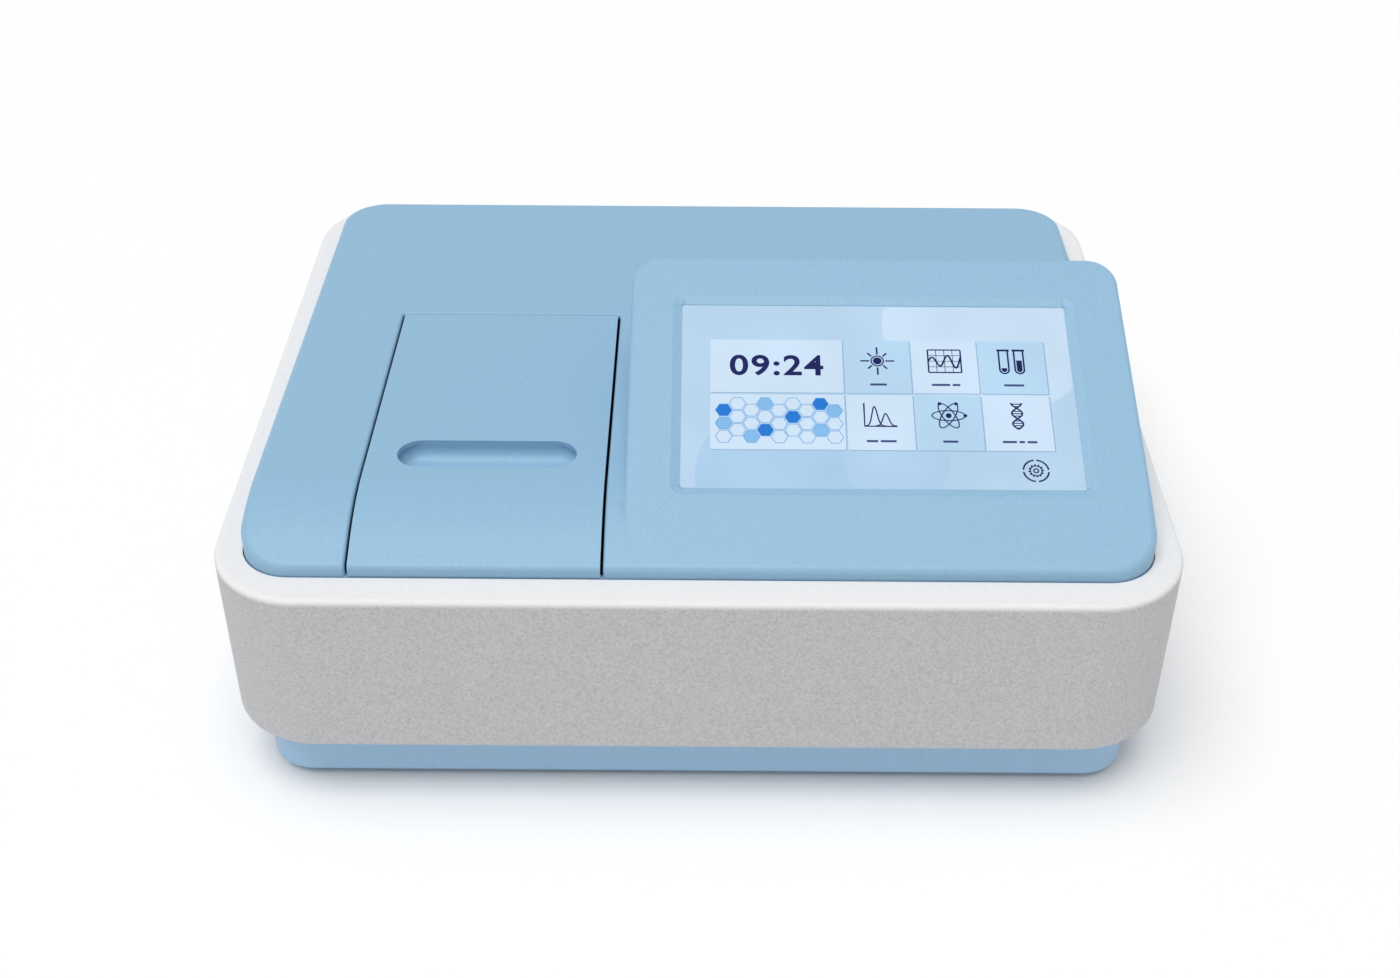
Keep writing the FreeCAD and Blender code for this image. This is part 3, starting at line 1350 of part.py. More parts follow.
def fan_rotor():
    """The rotor: a cup on the axle, with blades set at an angle round it."""
    rotor = Piece("fan_rotor")
    low, high = fan_floor + fan_axial_gap, fan_thickness - rotor_recess
    rotor.add("Z", low, high, circle(0, 0, fan_hub_radius))
    rotor.cut("Z", low, high - rotor_face, circle(0, 0, shaft_radius + hinge_clearance))
    blade_low, blade_high = low + blade_inset, high - blade_inset
    tip = fan_bore - fan_tip_gap
    sketch = rotor.sketch("X", fan_hub_radius - blade_root, [polygon(
        (-fan_blade_sweep, blade_low), (-fan_blade_sweep + fan_blade, blade_low),
        (fan_blade_sweep, blade_high), (fan_blade_sweep - fan_blade, blade_high))])
    blade = rotor.body.newObject("PartDesign::Pad", "fan_blade")
    blade.Profile = sketch
    length = tip - fan_hub_radius + blade_root - fan_blade_relief
    blade.Length = length.value
    blade.setExpression("Length", length.text)
    rotor.ring(blade, fan_blade_count)
    return node(rotor.place(fan_x, panel_back - fan_thickness, panel_middle, (1, 0, 0),
                            as_size(-90)))


def fan_guard():
    guard = Piece("fan_guard")
    for i in range(guard_rings):
        outer = fan_bore - guard_pitch * i
        guard.turn(rectangle(outer - guard_wire, outer, 0, guard_wire))
    reach = (fan_size / 2 - fan_screw_inset) * math.sqrt(2)
    for ux, uy in ((1, 1), (1, -1)):
        ux, uy = ux / math.sqrt(2), uy / math.sqrt(2)
        guard.add("Z", 0, guard_wire, bar(ux, uy, -reach, reach, guard_wire))
    for sx in (-1, 1):
        for sz in (-1, 1):
            x, y = sx * (fan_size / 2 - fan_screw_inset), sz * (fan_size / 2 - fan_screw_inset)
            guard.add("Z", 0, guard_wire, circle(x, y, 2 * fan_screw_radius))
            guard.cut("Z", 0, guard_wire, circle(x, y, fan_screw_radius + screw_clearance))
    return node(guard.place(fan_x, panel_face, panel_middle, (1, 0, 0), as_size(-90)))


def bar(ux, uy, start, end, width):
    """A straight bar on a line through the origin, from one distance to another."""
    half = as_size(width) / 2
    return polygon((start * ux + half * uy, start * uy - half * ux),
                   (end * ux + half * uy, end * uy - half * ux),
                   (end * ux - half * uy, end * uy + half * ux),
                   (start * ux - half * uy, start * uy + half * ux))


def fan_screws():
    screws = []
    for i, (x, z) in enumerate(fan_screw_places()):
        screw = small_screw(f"fan_screw_{i + 1}", fan_screw_radius, 1.9 * fan_screw_radius,
                            screw_head, guard_wire + panel_sheet + fan_thickness)
        screws.append(screw.place(x, panel_face + guard_wire, z, (1, 0, 0), as_size(-90)).body)
    return node(group("fan_screws", screws))


# Power inlet: a shrouded socket with three flat pins, in a flange with two screw ears.
def power_inlet():
    inlet = Piece("power_inlet")
    half, rise = inlet_width / 2, inlet_height / 2
    z = panel_middle
    flange, lift = inlet_flange_width / 2, inlet_flange_height / 2
    inlet.add("Y", panel_face, panel_face + inlet_flange_thickness,
              rounded(inlet_x - flange, inlet_x + flange, z - lift, z + lift, inlet_corner))
    inlet.add("Y", panel_face - inlet_depth, panel_face, rectangle(
        inlet_x - half, inlet_x + half, z - rise, z + rise))
    wall = inlet_wall
    well = half - wall, rise - wall
    inlet.cut("Y", panel_face - inlet_socket_depth, panel_face + inlet_flange_thickness, polygon(
        (inlet_x - well[0], z - well[1]), (inlet_x + well[0], z - well[1]),
        (inlet_x + well[0], z + well[1] - inlet_bevel),
        (inlet_x + well[0] - inlet_bevel, z + well[1]),
        (inlet_x - well[0] + inlet_bevel, z + well[1]),
        (inlet_x - well[0], z + well[1] - inlet_bevel)))
    for sign in (-1, 1):
        inlet.cut("Y", panel_face, panel_face + inlet_flange_thickness,
                  circle(inlet_x + sign * inlet_screw_reach, z, panel_screw_radius + screw_clearance))
    low = panel_face - inlet_socket_depth
    thick, wide = inlet_pin_thickness / 2, inlet_pin_width / 2
    for across, up in ((-inlet_pin_pitch, -inlet_pin_drop), (inlet_pin_pitch, -inlet_pin_drop),
                       (0, inlet_pin_rise)):
        x, level = inlet_x + across, z + up
        inlet.add("Y", low, low + inlet_pin_length,
                  rectangle(x - thick, x + thick, level - wide, level + wide))
    return node(inlet)


# Power switch: a snap-in frame and the rocker that tips on a pin between two stops.
def switch_frame():
    frame = Piece("switch_frame")
    half, rise, z = switch_width / 2, switch_height / 2, panel_middle
    frame.add("Y", panel_face, panel_face + switch_flange, rounded(
        switch_x - half - switch_lip, switch_x + half + switch_lip, z - rise - switch_lip,
        z + rise + switch_lip, switch_corner))
    frame.add("Y", panel_face - switch_depth, panel_face, rectangle(
        switch_x - half, switch_x + half, z - rise, z + rise))
    wall = switch_wall
    frame.cut("Y", panel_face - switch_depth + wall, panel_face + switch_flange, rectangle(
        switch_x - half + wall, switch_x + half - wall, z - rise + wall, z + rise - wall))
    for side in (-1, 1):
        x = switch_x + side * (half - wall)
        x0, x1 = (x - rocker_pin_length, x) if side > 0 else (x, x + rocker_pin_length)
        frame.add("X", x0, x1, circle(panel_face - rocker_pivot_depth, z, rocker_pin_radius))
    return node(frame)


def power_rocker():
    """The rocker, level at rest: two wings that meet in a shallow valley on the outside."""
    rocker = Piece("power_rocker")
    half = switch_width / 2 - switch_wall - rocker_gap
    rise = switch_height / 2 - switch_wall - rocker_end_gap
    y, z = panel_face - rocker_pivot_depth, panel_middle
    top = panel_face + switch_flange
    keel = y - rocker_pin_radius - rocker_back
    rocker.add("X", switch_x - half, switch_x + half, polygon(
        (keel, z - rocker_keel), (keel, z + rocker_keel),
        (top - rocker_skirt, z + rise - rocker_taper), (top + rocker_rise, z + rise), (top, z),
        (top + rocker_rise, z - rise), (top - rocker_skirt, z - rise + rocker_taper)))
    rocker.cut("X", switch_x - half, switch_x + half,
               circle(y, z, rocker_pin_radius + hinge_clearance))
    return node(rocker)


def data_socket(label, x, width, height, lip, shell, tongue_width, tongue_height):
    """A metal-shelled socket behind the panel, with its mouth outwards."""
    socket = Piece(label)
    half, rise, z = width / 2, height / 2, panel_middle
    across, up = half + socket_ear, rise + socket_ear_rise
    floor = panel_back - socket_depth / 2
    socket.add("Y", panel_back - socket_depth, panel_face + lip, rectangle(
        x - half, x + half, z - rise, z + rise))
    socket.add("Y", panel_back - socket_plate, panel_back,
               rectangle(x - across, x + across, z - up, z + up))
    socket.cut("Y", floor, panel_face + lip, rectangle(
        x - half + shell, x + half - shell, z - rise + shell, z + rise - shell))
    half, rise = tongue_width / 2, tongue_height / 2
    socket.add("Y", floor, panel_face - socket_recess, rectangle(
        x - half, x + half, z - rise, z + rise))
    return socket.body


# The monochromator: a cast box with its slits in the side walls.  Light comes in on the
# right, is folded to the collimating mirror, spread by the grating, focused and folded
# again to the exit slit on the left.
def mono_housing():
    box = Piece("mono_housing")
    left, right, low, high = mono_edges(as_size(0))
    box.add("Z", bench_top, bench_top + mono_height, rounded(left, right, low, high, mono_corner))
    inner = mono_edges(mono_wall)
    box.cut("Z", mono_floor(), bench_top + mono_height,
            rounded(*inner, mono_corner - mono_wall))
    box.add("Z", mono_floor(), mono_floor() + bearing_height,
            circle(grating_x, grating_y, bearing_radius))
    box.cut("Z", mono_floor(), mono_floor() + bearing_height,
            circle(grating_x, grating_y, spindle_radius + hinge_clearance))
    box.cut("X", right - mono_wall, right, circle(source_line, beam_level, port_radius))
    box.cut("X", left, left + mono_wall, circle(reference_line, beam_level, port_radius))
    box.cut("Y", high - mono_wall, high, circle(screw_x(), screw_z(), screw_radius + screw_port_gap))
    return node(box)


def mono_edges(inset):
    right, high = mono_left + mono_width, mono_front + mono_depth
    return mono_left + inset, right - inset, mono_front + inset, high - inset


def mono_floor():
    return bench_top + mono_wall


def screw_x():
    return grating_x - arm_length


def screw_z():
    return bench_top + screw_level


def mono_cover():
    cover = Piece("mono_cover")
    low = bench_top + mono_height
    cover.add("Z", low, low + mono_lid, rounded(*mono_edges(as_size(0)), mono_corner))
    cover.round(mono_lid_edge, at_height(low + mono_lid))
    return node(cover)


def slit(label, x, line):
    """A thin plate with a narrow slit, on the outside of the housing."""
    plate = Piece(label)
    half = slit_size / 2
    plate.add("X", x, x + slit_plate, rounded(line - half, line + half, beam_level - half,
                                              beam_level + half, slit_corner))
    plate.cut("X", x, x + slit_plate, rectangle(line - slit_width / 2, line + slit_width / 2,
                                                beam_level - slit_height / 2,
                                                beam_level + slit_height / 2))
    return plate.body


def mounted_mirror(label, x, y, width, angle, hollow):
    """A mirror block on a foot and post; its face looks along the body's own +y."""
    mirror = Piece(label)
    half, thick, back = width / 2, mirror_thickness, mirror_mount
    rise = beam_level - mono_floor()
    mirror.add("Z", rise - mirror_height / 2, rise + mirror_height / 2,
               rectangle(-half, half, -thick, 0))
    if hollow:
        mirror.cut("X", -half, half, circle(dish_radius - dish_depth, rise, dish_radius))
    mirror.add("Z", 0, rise + mirror_height / 2 - mount_drop,
               rectangle(-half + mount_inset, half - mount_inset, -thick - back, -thick))
    mirror.add("Z", 0, mount_foot_height,
               rectangle(-half + mount_foot_inset, half - mount_foot_inset,
                         -thick - back - mount_foot_reach, 0))
    return mirror.place(x, y, mono_floor(), (0, 0, 1), as_size(angle)).body


# The grating turns on a table whose arm rests against a nut on the lead screw.
def grating_table():
    table = Piece("grating_table")
    low = bearing_height + table_gap
    table.add("Z", low, low + table_thickness, circle(0, 0, table_radius))
    table.add("Z", table_gap, low, circle(0, 0, spindle_radius))
    top = low + table_thickness
    table.add("Z", low, top, rectangle(-arm_length, 0, -arm_width / 2, arm_width / 2))
    table.add("Z", low, top + follower_rise, circle(-arm_length, 0, follower_radius))
    rise = beam_level - mono_floor()
    table.add("Z", top, rise + grating_width / 2, rectangle(
        -grating_width / 2, grating_width / 2, 0, grating_mount))
    return node(table.place(grating_x, grating_y, mono_floor()))


def grating():
    ruled = Piece("grating")
    rise = beam_level - mono_floor()
    half = grating_width / 2
    ruled.add("Z", rise - half, rise + half, rectangle(-half, half, -grating_thickness, 0))
    return node(ruled.place(grating_x, grating_y, mono_floor()))


def lead_screw():
    screw = Piece("lead_screw")
    length = screw_length()
    screw.turn(rectangle(0, screw_radius, 0, length))
    return node(screw.place(screw_x(), mono_front + mono_depth - table_gap, screw_z(), (1, 0, 0),
                            as_size(90)))


def screw_length():
    return mono_front + mono_depth - grating_y + screw_overrun


def drive_nut():
    nut = Piece("drive_nut")
    half = nut_size / 2
    x, z = screw_x(), screw_z()
    high = grating_y - follower_radius - nut_gap
    low = mono_floor() + bearing_height + table_gap
    nut.add("Y", high - nut_length, high, rectangle(x - half, x + half, low, z + half))
    nut.cut("Y", high - nut_length, high, circle(x, z, screw_radius + hinge_clearance))
    return node(nut)


def stepper(label, x, y, z, axis, angle):
    """A stepper motor: a square can with a pilot ring; its shaft side looks along own +z."""
    motor = Piece(label)
    half = stepper_size / 2
    motor.add("Z", -stepper_length, 0, rounded(-half, half, -half, half, stepper_corner))
    return node(motor.place(x, y, z, axis, as_size(angle)))


# The lamp house: a cast box with cooling fins on the right, a vented cover, and inside
# it the two lamps and the mirror that swings from one to the other.
def lamp_edges(inset):
    right = lamp_house_left + lamp_house_width
    high = lamp_house_front + lamp_house_depth
    return lamp_house_left + inset, right - inset, lamp_house_front + inset, high - inset


def lamp_house():
    box = Piece("lamp_house")
    left, right, low, high = lamp_edges(as_size(0))
    top = bench_top + lamp_house_height
    box.add("Z", bench_top, top, rectangle(left, right, low, high))
    box.cut("Z", bench_top + lamp_house_wall, top, rectangle(*lamp_edges(lamp_house_wall)))
    box.cut("X", left, left + lamp_house_wall, circle(source_line, beam_level, port_radius))
    return node(box)


def lamp_cover():
    """The cover of the lamp house, with a row of fins that give off its heat."""
    cover = Piece("lamp_cover")
    left, right, low, high = lamp_edges(as_size(0))
    base = bench_top + lamp_house_height
    cover.add("Z", base, base + lamp_house_wall, rectangle(left, right, low, high))
    for i in range(fin_count):
        y = low + fin_pitch * (i + 0.5)
        cover.add("Z", base + lamp_house_wall, base + lamp_house_wall + fin_depth,
                  rectangle(left + fin_inset, right - fin_inset, y, y + fin_thickness))
    return node(cover)


def lamp_floor():
    return bench_top + lamp_house_wall


def deuterium_lamp():
    """A glass envelope with a domed top, on a metal collar."""
    lamp = Piece("deuterium_lamp")
    r, socket = deuterium_radius, lamp_socket_height
    rise = beam_level - lamp_floor() + deuterium_height / 2
    collar = r + collar_reach
    top = socket + collar_height
    lamp.turn(polygon((0, socket), (collar, socket), (collar, top), (r, top),
                      (r, rise - r / 2), (r * 0.8, rise - r / 5), (r * 0.45, rise), (0, rise)))
    return node(lamp.place(lamp_x, source_line + lamp_offset, lamp_floor()))


def halogen_lamp():
    """A small capsule lamp with a pinched foot and two pins."""
    lamp = Piece("halogen_lamp")
    r = halogen_radius
    rise = beam_level - lamp_floor() + halogen_height / 2
    low = rise - halogen_height
    lamp.turn(polygon((0, low), (r * 0.7, low), (r * 0.7, low + capsule_foot), (r, low + capsule_shoulder),
                      (r, rise - r), (r * 0.7, rise - r * 0.3), (0, rise)))
    return node(lamp.place(lamp_x, source_line - lamp_offset, lamp_floor()))


def lamp_socket(label, y, radius, height):
    socket = Piece(label)
    base = radius + socket_base_reach
    socket.turn(polygon((0, 0), (base, 0), (base, socket_base_height),
                        (radius, socket_base_height), (radius, height), (0, height)))
    return socket.place(lamp_x, y, lamp_floor()).body


def source_mirror():
    """A round concave mirror in a fork, on the shaft of its motor; it faces the slit."""
    mirror = Piece("source_mirror")
    rise = beam_level - lamp_floor()
    half = source_mirror_size / 2
    mirror.add("Z", rise - half, rise + half, rectangle(0, mirror_thickness, -half, half))
    mirror.cut("Y", -half, half, circle(-dish_radius + dish_depth, rise, dish_radius))
    low = rise - half - fork_height
    mirror.add("Z", low, rise - half, rectangle(0, mirror_thickness + fork_reach, -half, half))
    mirror.add("Z", gear_motor_height + table_gap, low, circle(0, 0, shaft_radius + stem_wall))
    mirror.add("Z", low, rise - half, circle(0, 0, shaft_radius + fork_boss))
    return node(mirror.place(source_mirror_x, source_line, lamp_floor()))


def gear_motor(label, x, y, z, axis, angle, height):
    motor = Piece(label)
    shoulder, nose = height - gear_motor_nose, gear_motor_radius / 2
    motor.turn(polygon((0, 0), (gear_motor_radius, 0), (gear_motor_radius, shoulder),
                       (nose, shoulder), (nose, height), (0, height)))
    return node(motor.place(x, y, z, axis, as_size(angle)))


def filter_wheel():
    """A disc with a hub and a ring of round seats; one seat stands in the beam."""
    wheel = Piece("filter_wheel")
    wheel.add("Z", 0, filter_wheel_thickness, circle(0, 0, filter_wheel_radius))
    wheel.add("Z", filter_wheel_thickness, filter_wheel_thickness + filter_hub_height,
              circle(0, 0, filter_hub_radius))
    seat = wheel.cut("Z", 0, filter_wheel_thickness, circle(filter_ring, 0, filter_radius))
    wheel.ring(seat, filter_count)
    return node(wheel.place(filter_x(), source_line, filter_z(), (0, 1, 0), as_size(90)))


def filter_x():
    return (lamp_house_left - filter_motor_height - table_gap - filter_wheel_thickness
            - filter_hub_height)


def filter_z():
    return beam_level - filter_ring


# The beam divider: one mirror passes half of the light to the reference and turns half
# to a second mirror, which sends it through the sample.
def divider_base():
    base = Piece("divider_base")
    x = divider_x()
    half = divider_width / 2
    base.add("Z", bench_top, bench_top + divider_height,
             rounded(x - half, x + half, sample_line - divider_width, reference_line + divider_width,
                     divider_corner))
    return node(base)


def divider_x():
    return (lid_centre + well_width / 2 + well_wall + beam_window_thickness + mono_left
            - slit_plate) / 2


def divider_mirror(label, line, thickness, angle):
    plate = Piece(label)
    half = divider_mirror_size / 2
    rise = beam_level - bench_top - divider_height
    plate.add("Z", 0, rise + half, rectangle(-half, half, -thickness / 2, thickness / 2))
    return node(plate.place(divider_x(), line, bench_top + divider_height, (0, 0, 1),
                            as_size(angle)))


# The detectors: a cast box with two focusing lenses towards the compartment, closed
# behind by the board that carries the two photodiodes.
def detector_housing():
    box = Piece("detector_housing")
    left, right = detector_left, detector_left + detector_width
    low, high = detector_front, detector_front + detector_depth
    top = bench_top + detector_height
    box.add("Z", bench_top, top, rectangle(left, right, low, high))
    wall = detector_wall
    box.cut("X", left, right - wall, rectangle(low + wall, high - wall, bench_top + wall, top - wall))
    for line in (sample_line, reference_line):
        box.add("X", right - wall - lens_thickness, right - wall,
                circle(line, beam_level, lens_radius + wall))
        box.cut("X", right - lens_thickness - wall, right - wall, circle(line, beam_level, lens_radius))
        box.cut("X", right - wall, right, circle(line, beam_level, port_radius))
    return node(box)


def detector_lenses():
    lenses = []
    x = detector_left + detector_width - detector_wall
    for i, line in enumerate((sample_line, reference_line)):
        lens = Piece(f"lens_{i + 1}")
        lens.turn(polygon((0, 0), (lens_radius, 0), (lens_radius, lens_thickness * 0.5),
                          (lens_radius * 0.7, lens_thickness * 0.85), (0, lens_thickness)))
        lenses.append(lens.place(x, line, beam_level, (0, 1, 0), as_size(-90)).body)
    return node(group("detector_lenses", lenses))


def detector_board():
    board = Piece("detector_board")
    low, high = detector_front, detector_front + detector_depth
    board.add("X", detector_left - board_thickness, detector_left,
              rectangle(low, high, bench_top, bench_top + detector_height))
    middle, half = (low + high) / 2, detector_chip_size / 2
    top = beam_level - detector_chip_drop
    board.add("X", detector_left, detector_left + detector_chip_height,
              rectangle(middle - half, middle + half, top - detector_chip_size, top))
    return node(board)


def photodiodes():
    diodes = []
    for i, line in enumerate((sample_line, reference_line)):
        diode = Piece(f"photodiode_{i + 1}")
        r = diode_radius
        diode.turn(polygon((0, 0), (r + diode_rim, 0), (r + diode_rim, diode_rim), (r, diode_rim),
                           (r, diode_height), (0, diode_height)))
        diodes.append(diode.place(detector_left, line, beam_level, (0, 1, 0), as_size(90)).body)
    return node(group("photodiodes", diodes))


# The electronics behind the bench: mains supply, lamp supply and main board, each on
# short posts that rise from the floor of the plinth.
def posted_board(label, left, low, width, depth, parts):
    board = Piece(label)
    base = tray_floor + standoff
    board.add("Z", base, base + board_thickness, rounded(left, left + width, low, low + depth, board_corner))
    for sx in (0, 1):
        for sy in (0, 1):
            x = left + board_hole_inset + sx * (width - 2 * board_hole_inset)
            y = low + board_hole_inset + sy * (depth - 2 * board_hole_inset)
            board.add("Z", tray_floor, base, circle(x, y, post_radius))
    top = base + board_thickness
    for x, y, dx, dy, dz in parts:
        board.add("Z", top, top + dz, rectangle(left + x, left + x + dx, low + y, low + y + dy))
    return node(board)


def power_supply():
    """An open-frame supply in a folded cover, with its air slots on top."""
    supply = Piece("power_supply")
    x0, x1 = supply_left, supply_left + supply_width
    y0, y1 = supply_front, supply_front + supply_depth
    top = tray_floor + supply_height
    supply.add("Z", tray_floor, top, rectangle(x0, x1, y0, y1))
    sheet = supply_sheet
    supply.cut("Y", y0, y1, rectangle(x0 + sheet, x1 - sheet, tray_floor + sheet, top - sheet))
    for x, width, inset, drop in supply_blocks:
        supply.add("Z", tray_floor + sheet, top - drop,
                   rectangle(x0 + x, x0 + x + width, y0 + inset, y1 - inset))
    for i in range(supply_slot_count):
        y = y0 + supply_slot_start + supply_slot_pitch * i
        supply.cut("Z", top - sheet, top, rectangle(
            x0 + supply_slot_inset, x1 - supply_slot_inset, y, y + supply_slot_width))
    return node(supply)


base_tray()
rubber_feet()
belt_shell()
top_cover()
sample_lid()
hinge_bracket()
hinge_pin()
touch_glass()
lcd_module()
display_pan()
display_board()
optical_bench()
bench_screws()
compartment_well()
lid_seal()
beam_windows()
cell_carrier()
cell_holder("sample_holder", sample_line)
cell_holder("reference_holder", reference_line)
rear_panel()
panel_screws()
fan_frame()
fan_rotor()
fan_guard()
fan_screws()
power_inlet()
switch_frame()
power_rocker()
node(group("data_sockets", [
    data_socket("serial_socket", serial_x, serial_width, serial_height, serial_lip,
                serial_shell, serial_tongue_width, serial_tongue_height),
    data_socket("usb_socket", usb_x, usb_width, usb_height, usb_lip,
                usb_shell, usb_tongue_width, usb_tongue_height)]))
mono_housing()
mono_cover()
node(group("slit_plates", [slit("entrance_slit", mono_left + mono_width, source_line),
                           slit("exit_slit", mono_left - slit_plate, reference_line)]))
node(mounted_mirror("collimating_mirror", collimator_x, mirror_y, mirror_width, 8.2, True))
node(mounted_mirror("focusing_mirror", focuser_x, mirror_y, mirror_width, -7.1, True))
node(group("fold_mirrors", [
    mounted_mirror("entrance_fold", collimator_x, source_line, fold_width, -135, False),
    mounted_mirror("exit_fold", focuser_x, reference_line, fold_width, 135, False)]))
grating_table()
grating()
lead_screw()
drive_nut()
stepper("grating_motor", screw_x(), mono_front + mono_depth, screw_z(), (1, 0, 0), 90)
lamp_house()
lamp_cover()
deuterium_lamp()
halogen_lamp()
node(group("lamp_sockets", [
    lamp_socket("deuterium_socket", source_line + lamp_offset, deuterium_radius,
                lamp_socket_height),
    lamp_socket("halogen_socket", source_line - lamp_offset, halogen_radius,
                beam_level - lamp_floor() - halogen_height / 2)]))
source_mirror()
gear_motor("mirror_motor", source_mirror_x, source_line, lamp_floor(), (0, 0, 1), 0, gear_motor_height)
filter_wheel()
gear_motor("filter_motor", lamp_house_left, source_line, filter_z(), (0, 1, 0), -90, filter_motor_height)
divider_base()
divider_mirror("beam_splitter", reference_line, splitter_thickness, 45)
divider_mirror("sample_fold_mirror", sample_line, sample_fold_thickness, 45)
detector_housing()
detector_lenses()
detector_board()
photodiodes()
power_supply()
posted_board("lamp_supply", lamp_supply_left, supply_front, lamp_supply_width, supply_depth,
             ((8, 20, 26, 40, 22), (44, 14, 12, 50, 16), (64, 20, 20, 20, 12)))
posted_board("main_board", main_board_left, supply_front, main_board_width, supply_depth,
             ((12, 12, 28, 28, 4), (52, 14, 16, 16, 2), (80, 10, 40, 10, 8), (14, 56, 60, 8, 9),
              (90, 40, 22, 22, 12)))

doc.recompute()
for thing in doc.Objects:
    if "Invalid" in thing.State or "Error" in thing.State:
        raise ValueError(f"{thing.Label} failed: {thing.State}")
    if thing.TypeId in ("PartDesign::Pocket", "PartDesign::Groove"):
        if thing.Shape.Volume >= thing.BaseFeature.Shape.Volume - 1e-6:
            raise ValueError(f"{thing.Label} cuts nothing")
for thing in nodes:
    if thing.Shape.isNull() or not thing.Shape.isValid():
        raise ValueError(f"{thing.Label} is not a sound solid")

os.makedirs("parts", exist_ok=True)
for thing in nodes:
    thing.Shape.exportStep(f"parts/{thing.Label}.step")
print(len(nodes), "parts written")
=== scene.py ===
import math

import bmesh
import bpy
from mathutils import Matrix, Vector


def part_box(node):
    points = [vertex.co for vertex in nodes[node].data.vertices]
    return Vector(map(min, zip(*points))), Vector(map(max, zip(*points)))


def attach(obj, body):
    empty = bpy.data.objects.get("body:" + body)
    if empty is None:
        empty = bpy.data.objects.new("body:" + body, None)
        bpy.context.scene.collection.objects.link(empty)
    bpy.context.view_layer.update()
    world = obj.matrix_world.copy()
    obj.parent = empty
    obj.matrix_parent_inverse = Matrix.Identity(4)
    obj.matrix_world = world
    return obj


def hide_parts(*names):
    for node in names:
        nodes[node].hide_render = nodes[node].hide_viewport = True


# Double beam spectrophotometer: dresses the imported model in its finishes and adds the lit
# screen, the printed marks and the small contacts.  Metres, in the frame of the model.
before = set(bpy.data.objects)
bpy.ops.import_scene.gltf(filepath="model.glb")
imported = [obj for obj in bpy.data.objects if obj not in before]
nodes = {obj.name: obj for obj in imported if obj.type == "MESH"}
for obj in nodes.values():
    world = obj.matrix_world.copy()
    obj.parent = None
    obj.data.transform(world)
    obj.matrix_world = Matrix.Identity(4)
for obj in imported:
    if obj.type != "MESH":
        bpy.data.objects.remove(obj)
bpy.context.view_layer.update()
scene = bpy.context.scene


# The studio: a white sweep of paper under the instrument, a pale sky all round, and one wide
# soft lamp, high up in front and to the left.  The camera stands a metre in front and looks
# down at about 37 degrees; its picture is 1400 by 978.
sensor_width, focal_pixels, picture_width = 36.0, 1825.6, 1400
camera_place = (0.0015, -0.95734, 0.76617)
pitch, yaw, roll = 0.637684, -0.0012676, -0.0062188
camera_data = bpy.data.cameras.new("camera")
camera_data.sensor_width = sensor_width
camera_data.lens = sensor_width * focal_pixels / picture_width
camera_data.clip_end = 50.0
camera = bpy.data.objects.new("camera", camera_data)
scene.collection.objects.link(camera)
scene.camera = camera
forward = Vector((math.sin(yaw) * math.cos(pitch), math.cos(yaw) * math.cos(pitch), -math.sin(pitch)))
level = Vector((math.cos(yaw), -math.sin(yaw), 0.0))
down = forward.cross(level)
right = math.cos(roll) * level + math.sin(roll) * down
up = math.sin(roll) * level - math.cos(roll) * down
camera.matrix_world = (Matrix.Translation(camera_place)
                       @ Matrix((right, up, -forward)).transposed().to_4x4())

scene.view_settings.view_transform = "Standard"

paper_reach, paper_white, sky_strength = 6.0, 0.96, 0.45
paper_mesh = bpy.data.meshes.new("paper_sweep")
paper_mesh.from_pydata([(x * paper_reach, y * paper_reach, 0) for x, y in
                        ((-1, -1), (1, -1), (1, 1), (-1, 1))], [], [(0, 1, 2, 3)])
paper_sweep = bpy.data.objects.new("paper_sweep", paper_mesh)
scene.collection.objects.link(paper_sweep)
paper = bpy.data.materials.new("paper")
paper.use_nodes = True
paper_shader = paper.node_tree.nodes["Principled BSDF"]
paper_shader.inputs["Base Color"].default_value = (paper_white, paper_white, paper_white, 1)
paper_shader.inputs["Roughness"].default_value = 0.9
paper_mesh.materials.append(paper)

sky = bpy.data.worlds.new("sky")
sky.use_nodes = True
sky_light = sky.node_tree.nodes["Background"]
sky_light.inputs["Color"].default_value = (1, 1, 1, 1)
sky_light.inputs["Strength"].default_value = sky_strength
scene.world = sky


def soft_lamp(name, strength, azimuth, height, spread):
    """A wide distant lamp; azimuth 0 is behind the instrument and 90 on its right."""
    data = bpy.data.lights.new(name, "SUN")
    data.energy = strength
    data.angle = math.radians(spread)
    lamp = bpy.data.objects.new(name, data)
    scene.collection.objects.link(lamp)
    a, h = math.radians(azimuth), math.radians(height)
    towards = Vector((math.sin(a) * math.cos(h), math.cos(a) * math.cos(h), math.sin(h)))
    lamp.rotation_mode = "QUATERNION"
    lamp.rotation_quaternion = towards.to_track_quat("Z", "Y")


soft_lamp("top_lamp", strength=1.95, azimuth=-142, height=75, spread=50)


# The plinth: a shallow tray moulded in light blue plastic with a fine satin texture.  It
# carries everything else and is seen as a narrow blue band under the belt.
def finish(name, colour, roughness, metallic=0.0):
    """A new finish: its material and its shader, with the even values set."""
    material = bpy.data.materials.new(name)
    material.use_nodes = True
    shader = material.node_tree.nodes["Principled BSDF"]
    shader.inputs["Base Color"].default_value = (*colour, 1)
    shader.inputs["Roughness"].default_value = roughness
    shader.inputs["Metallic"].default_value = metallic
    return material, shader


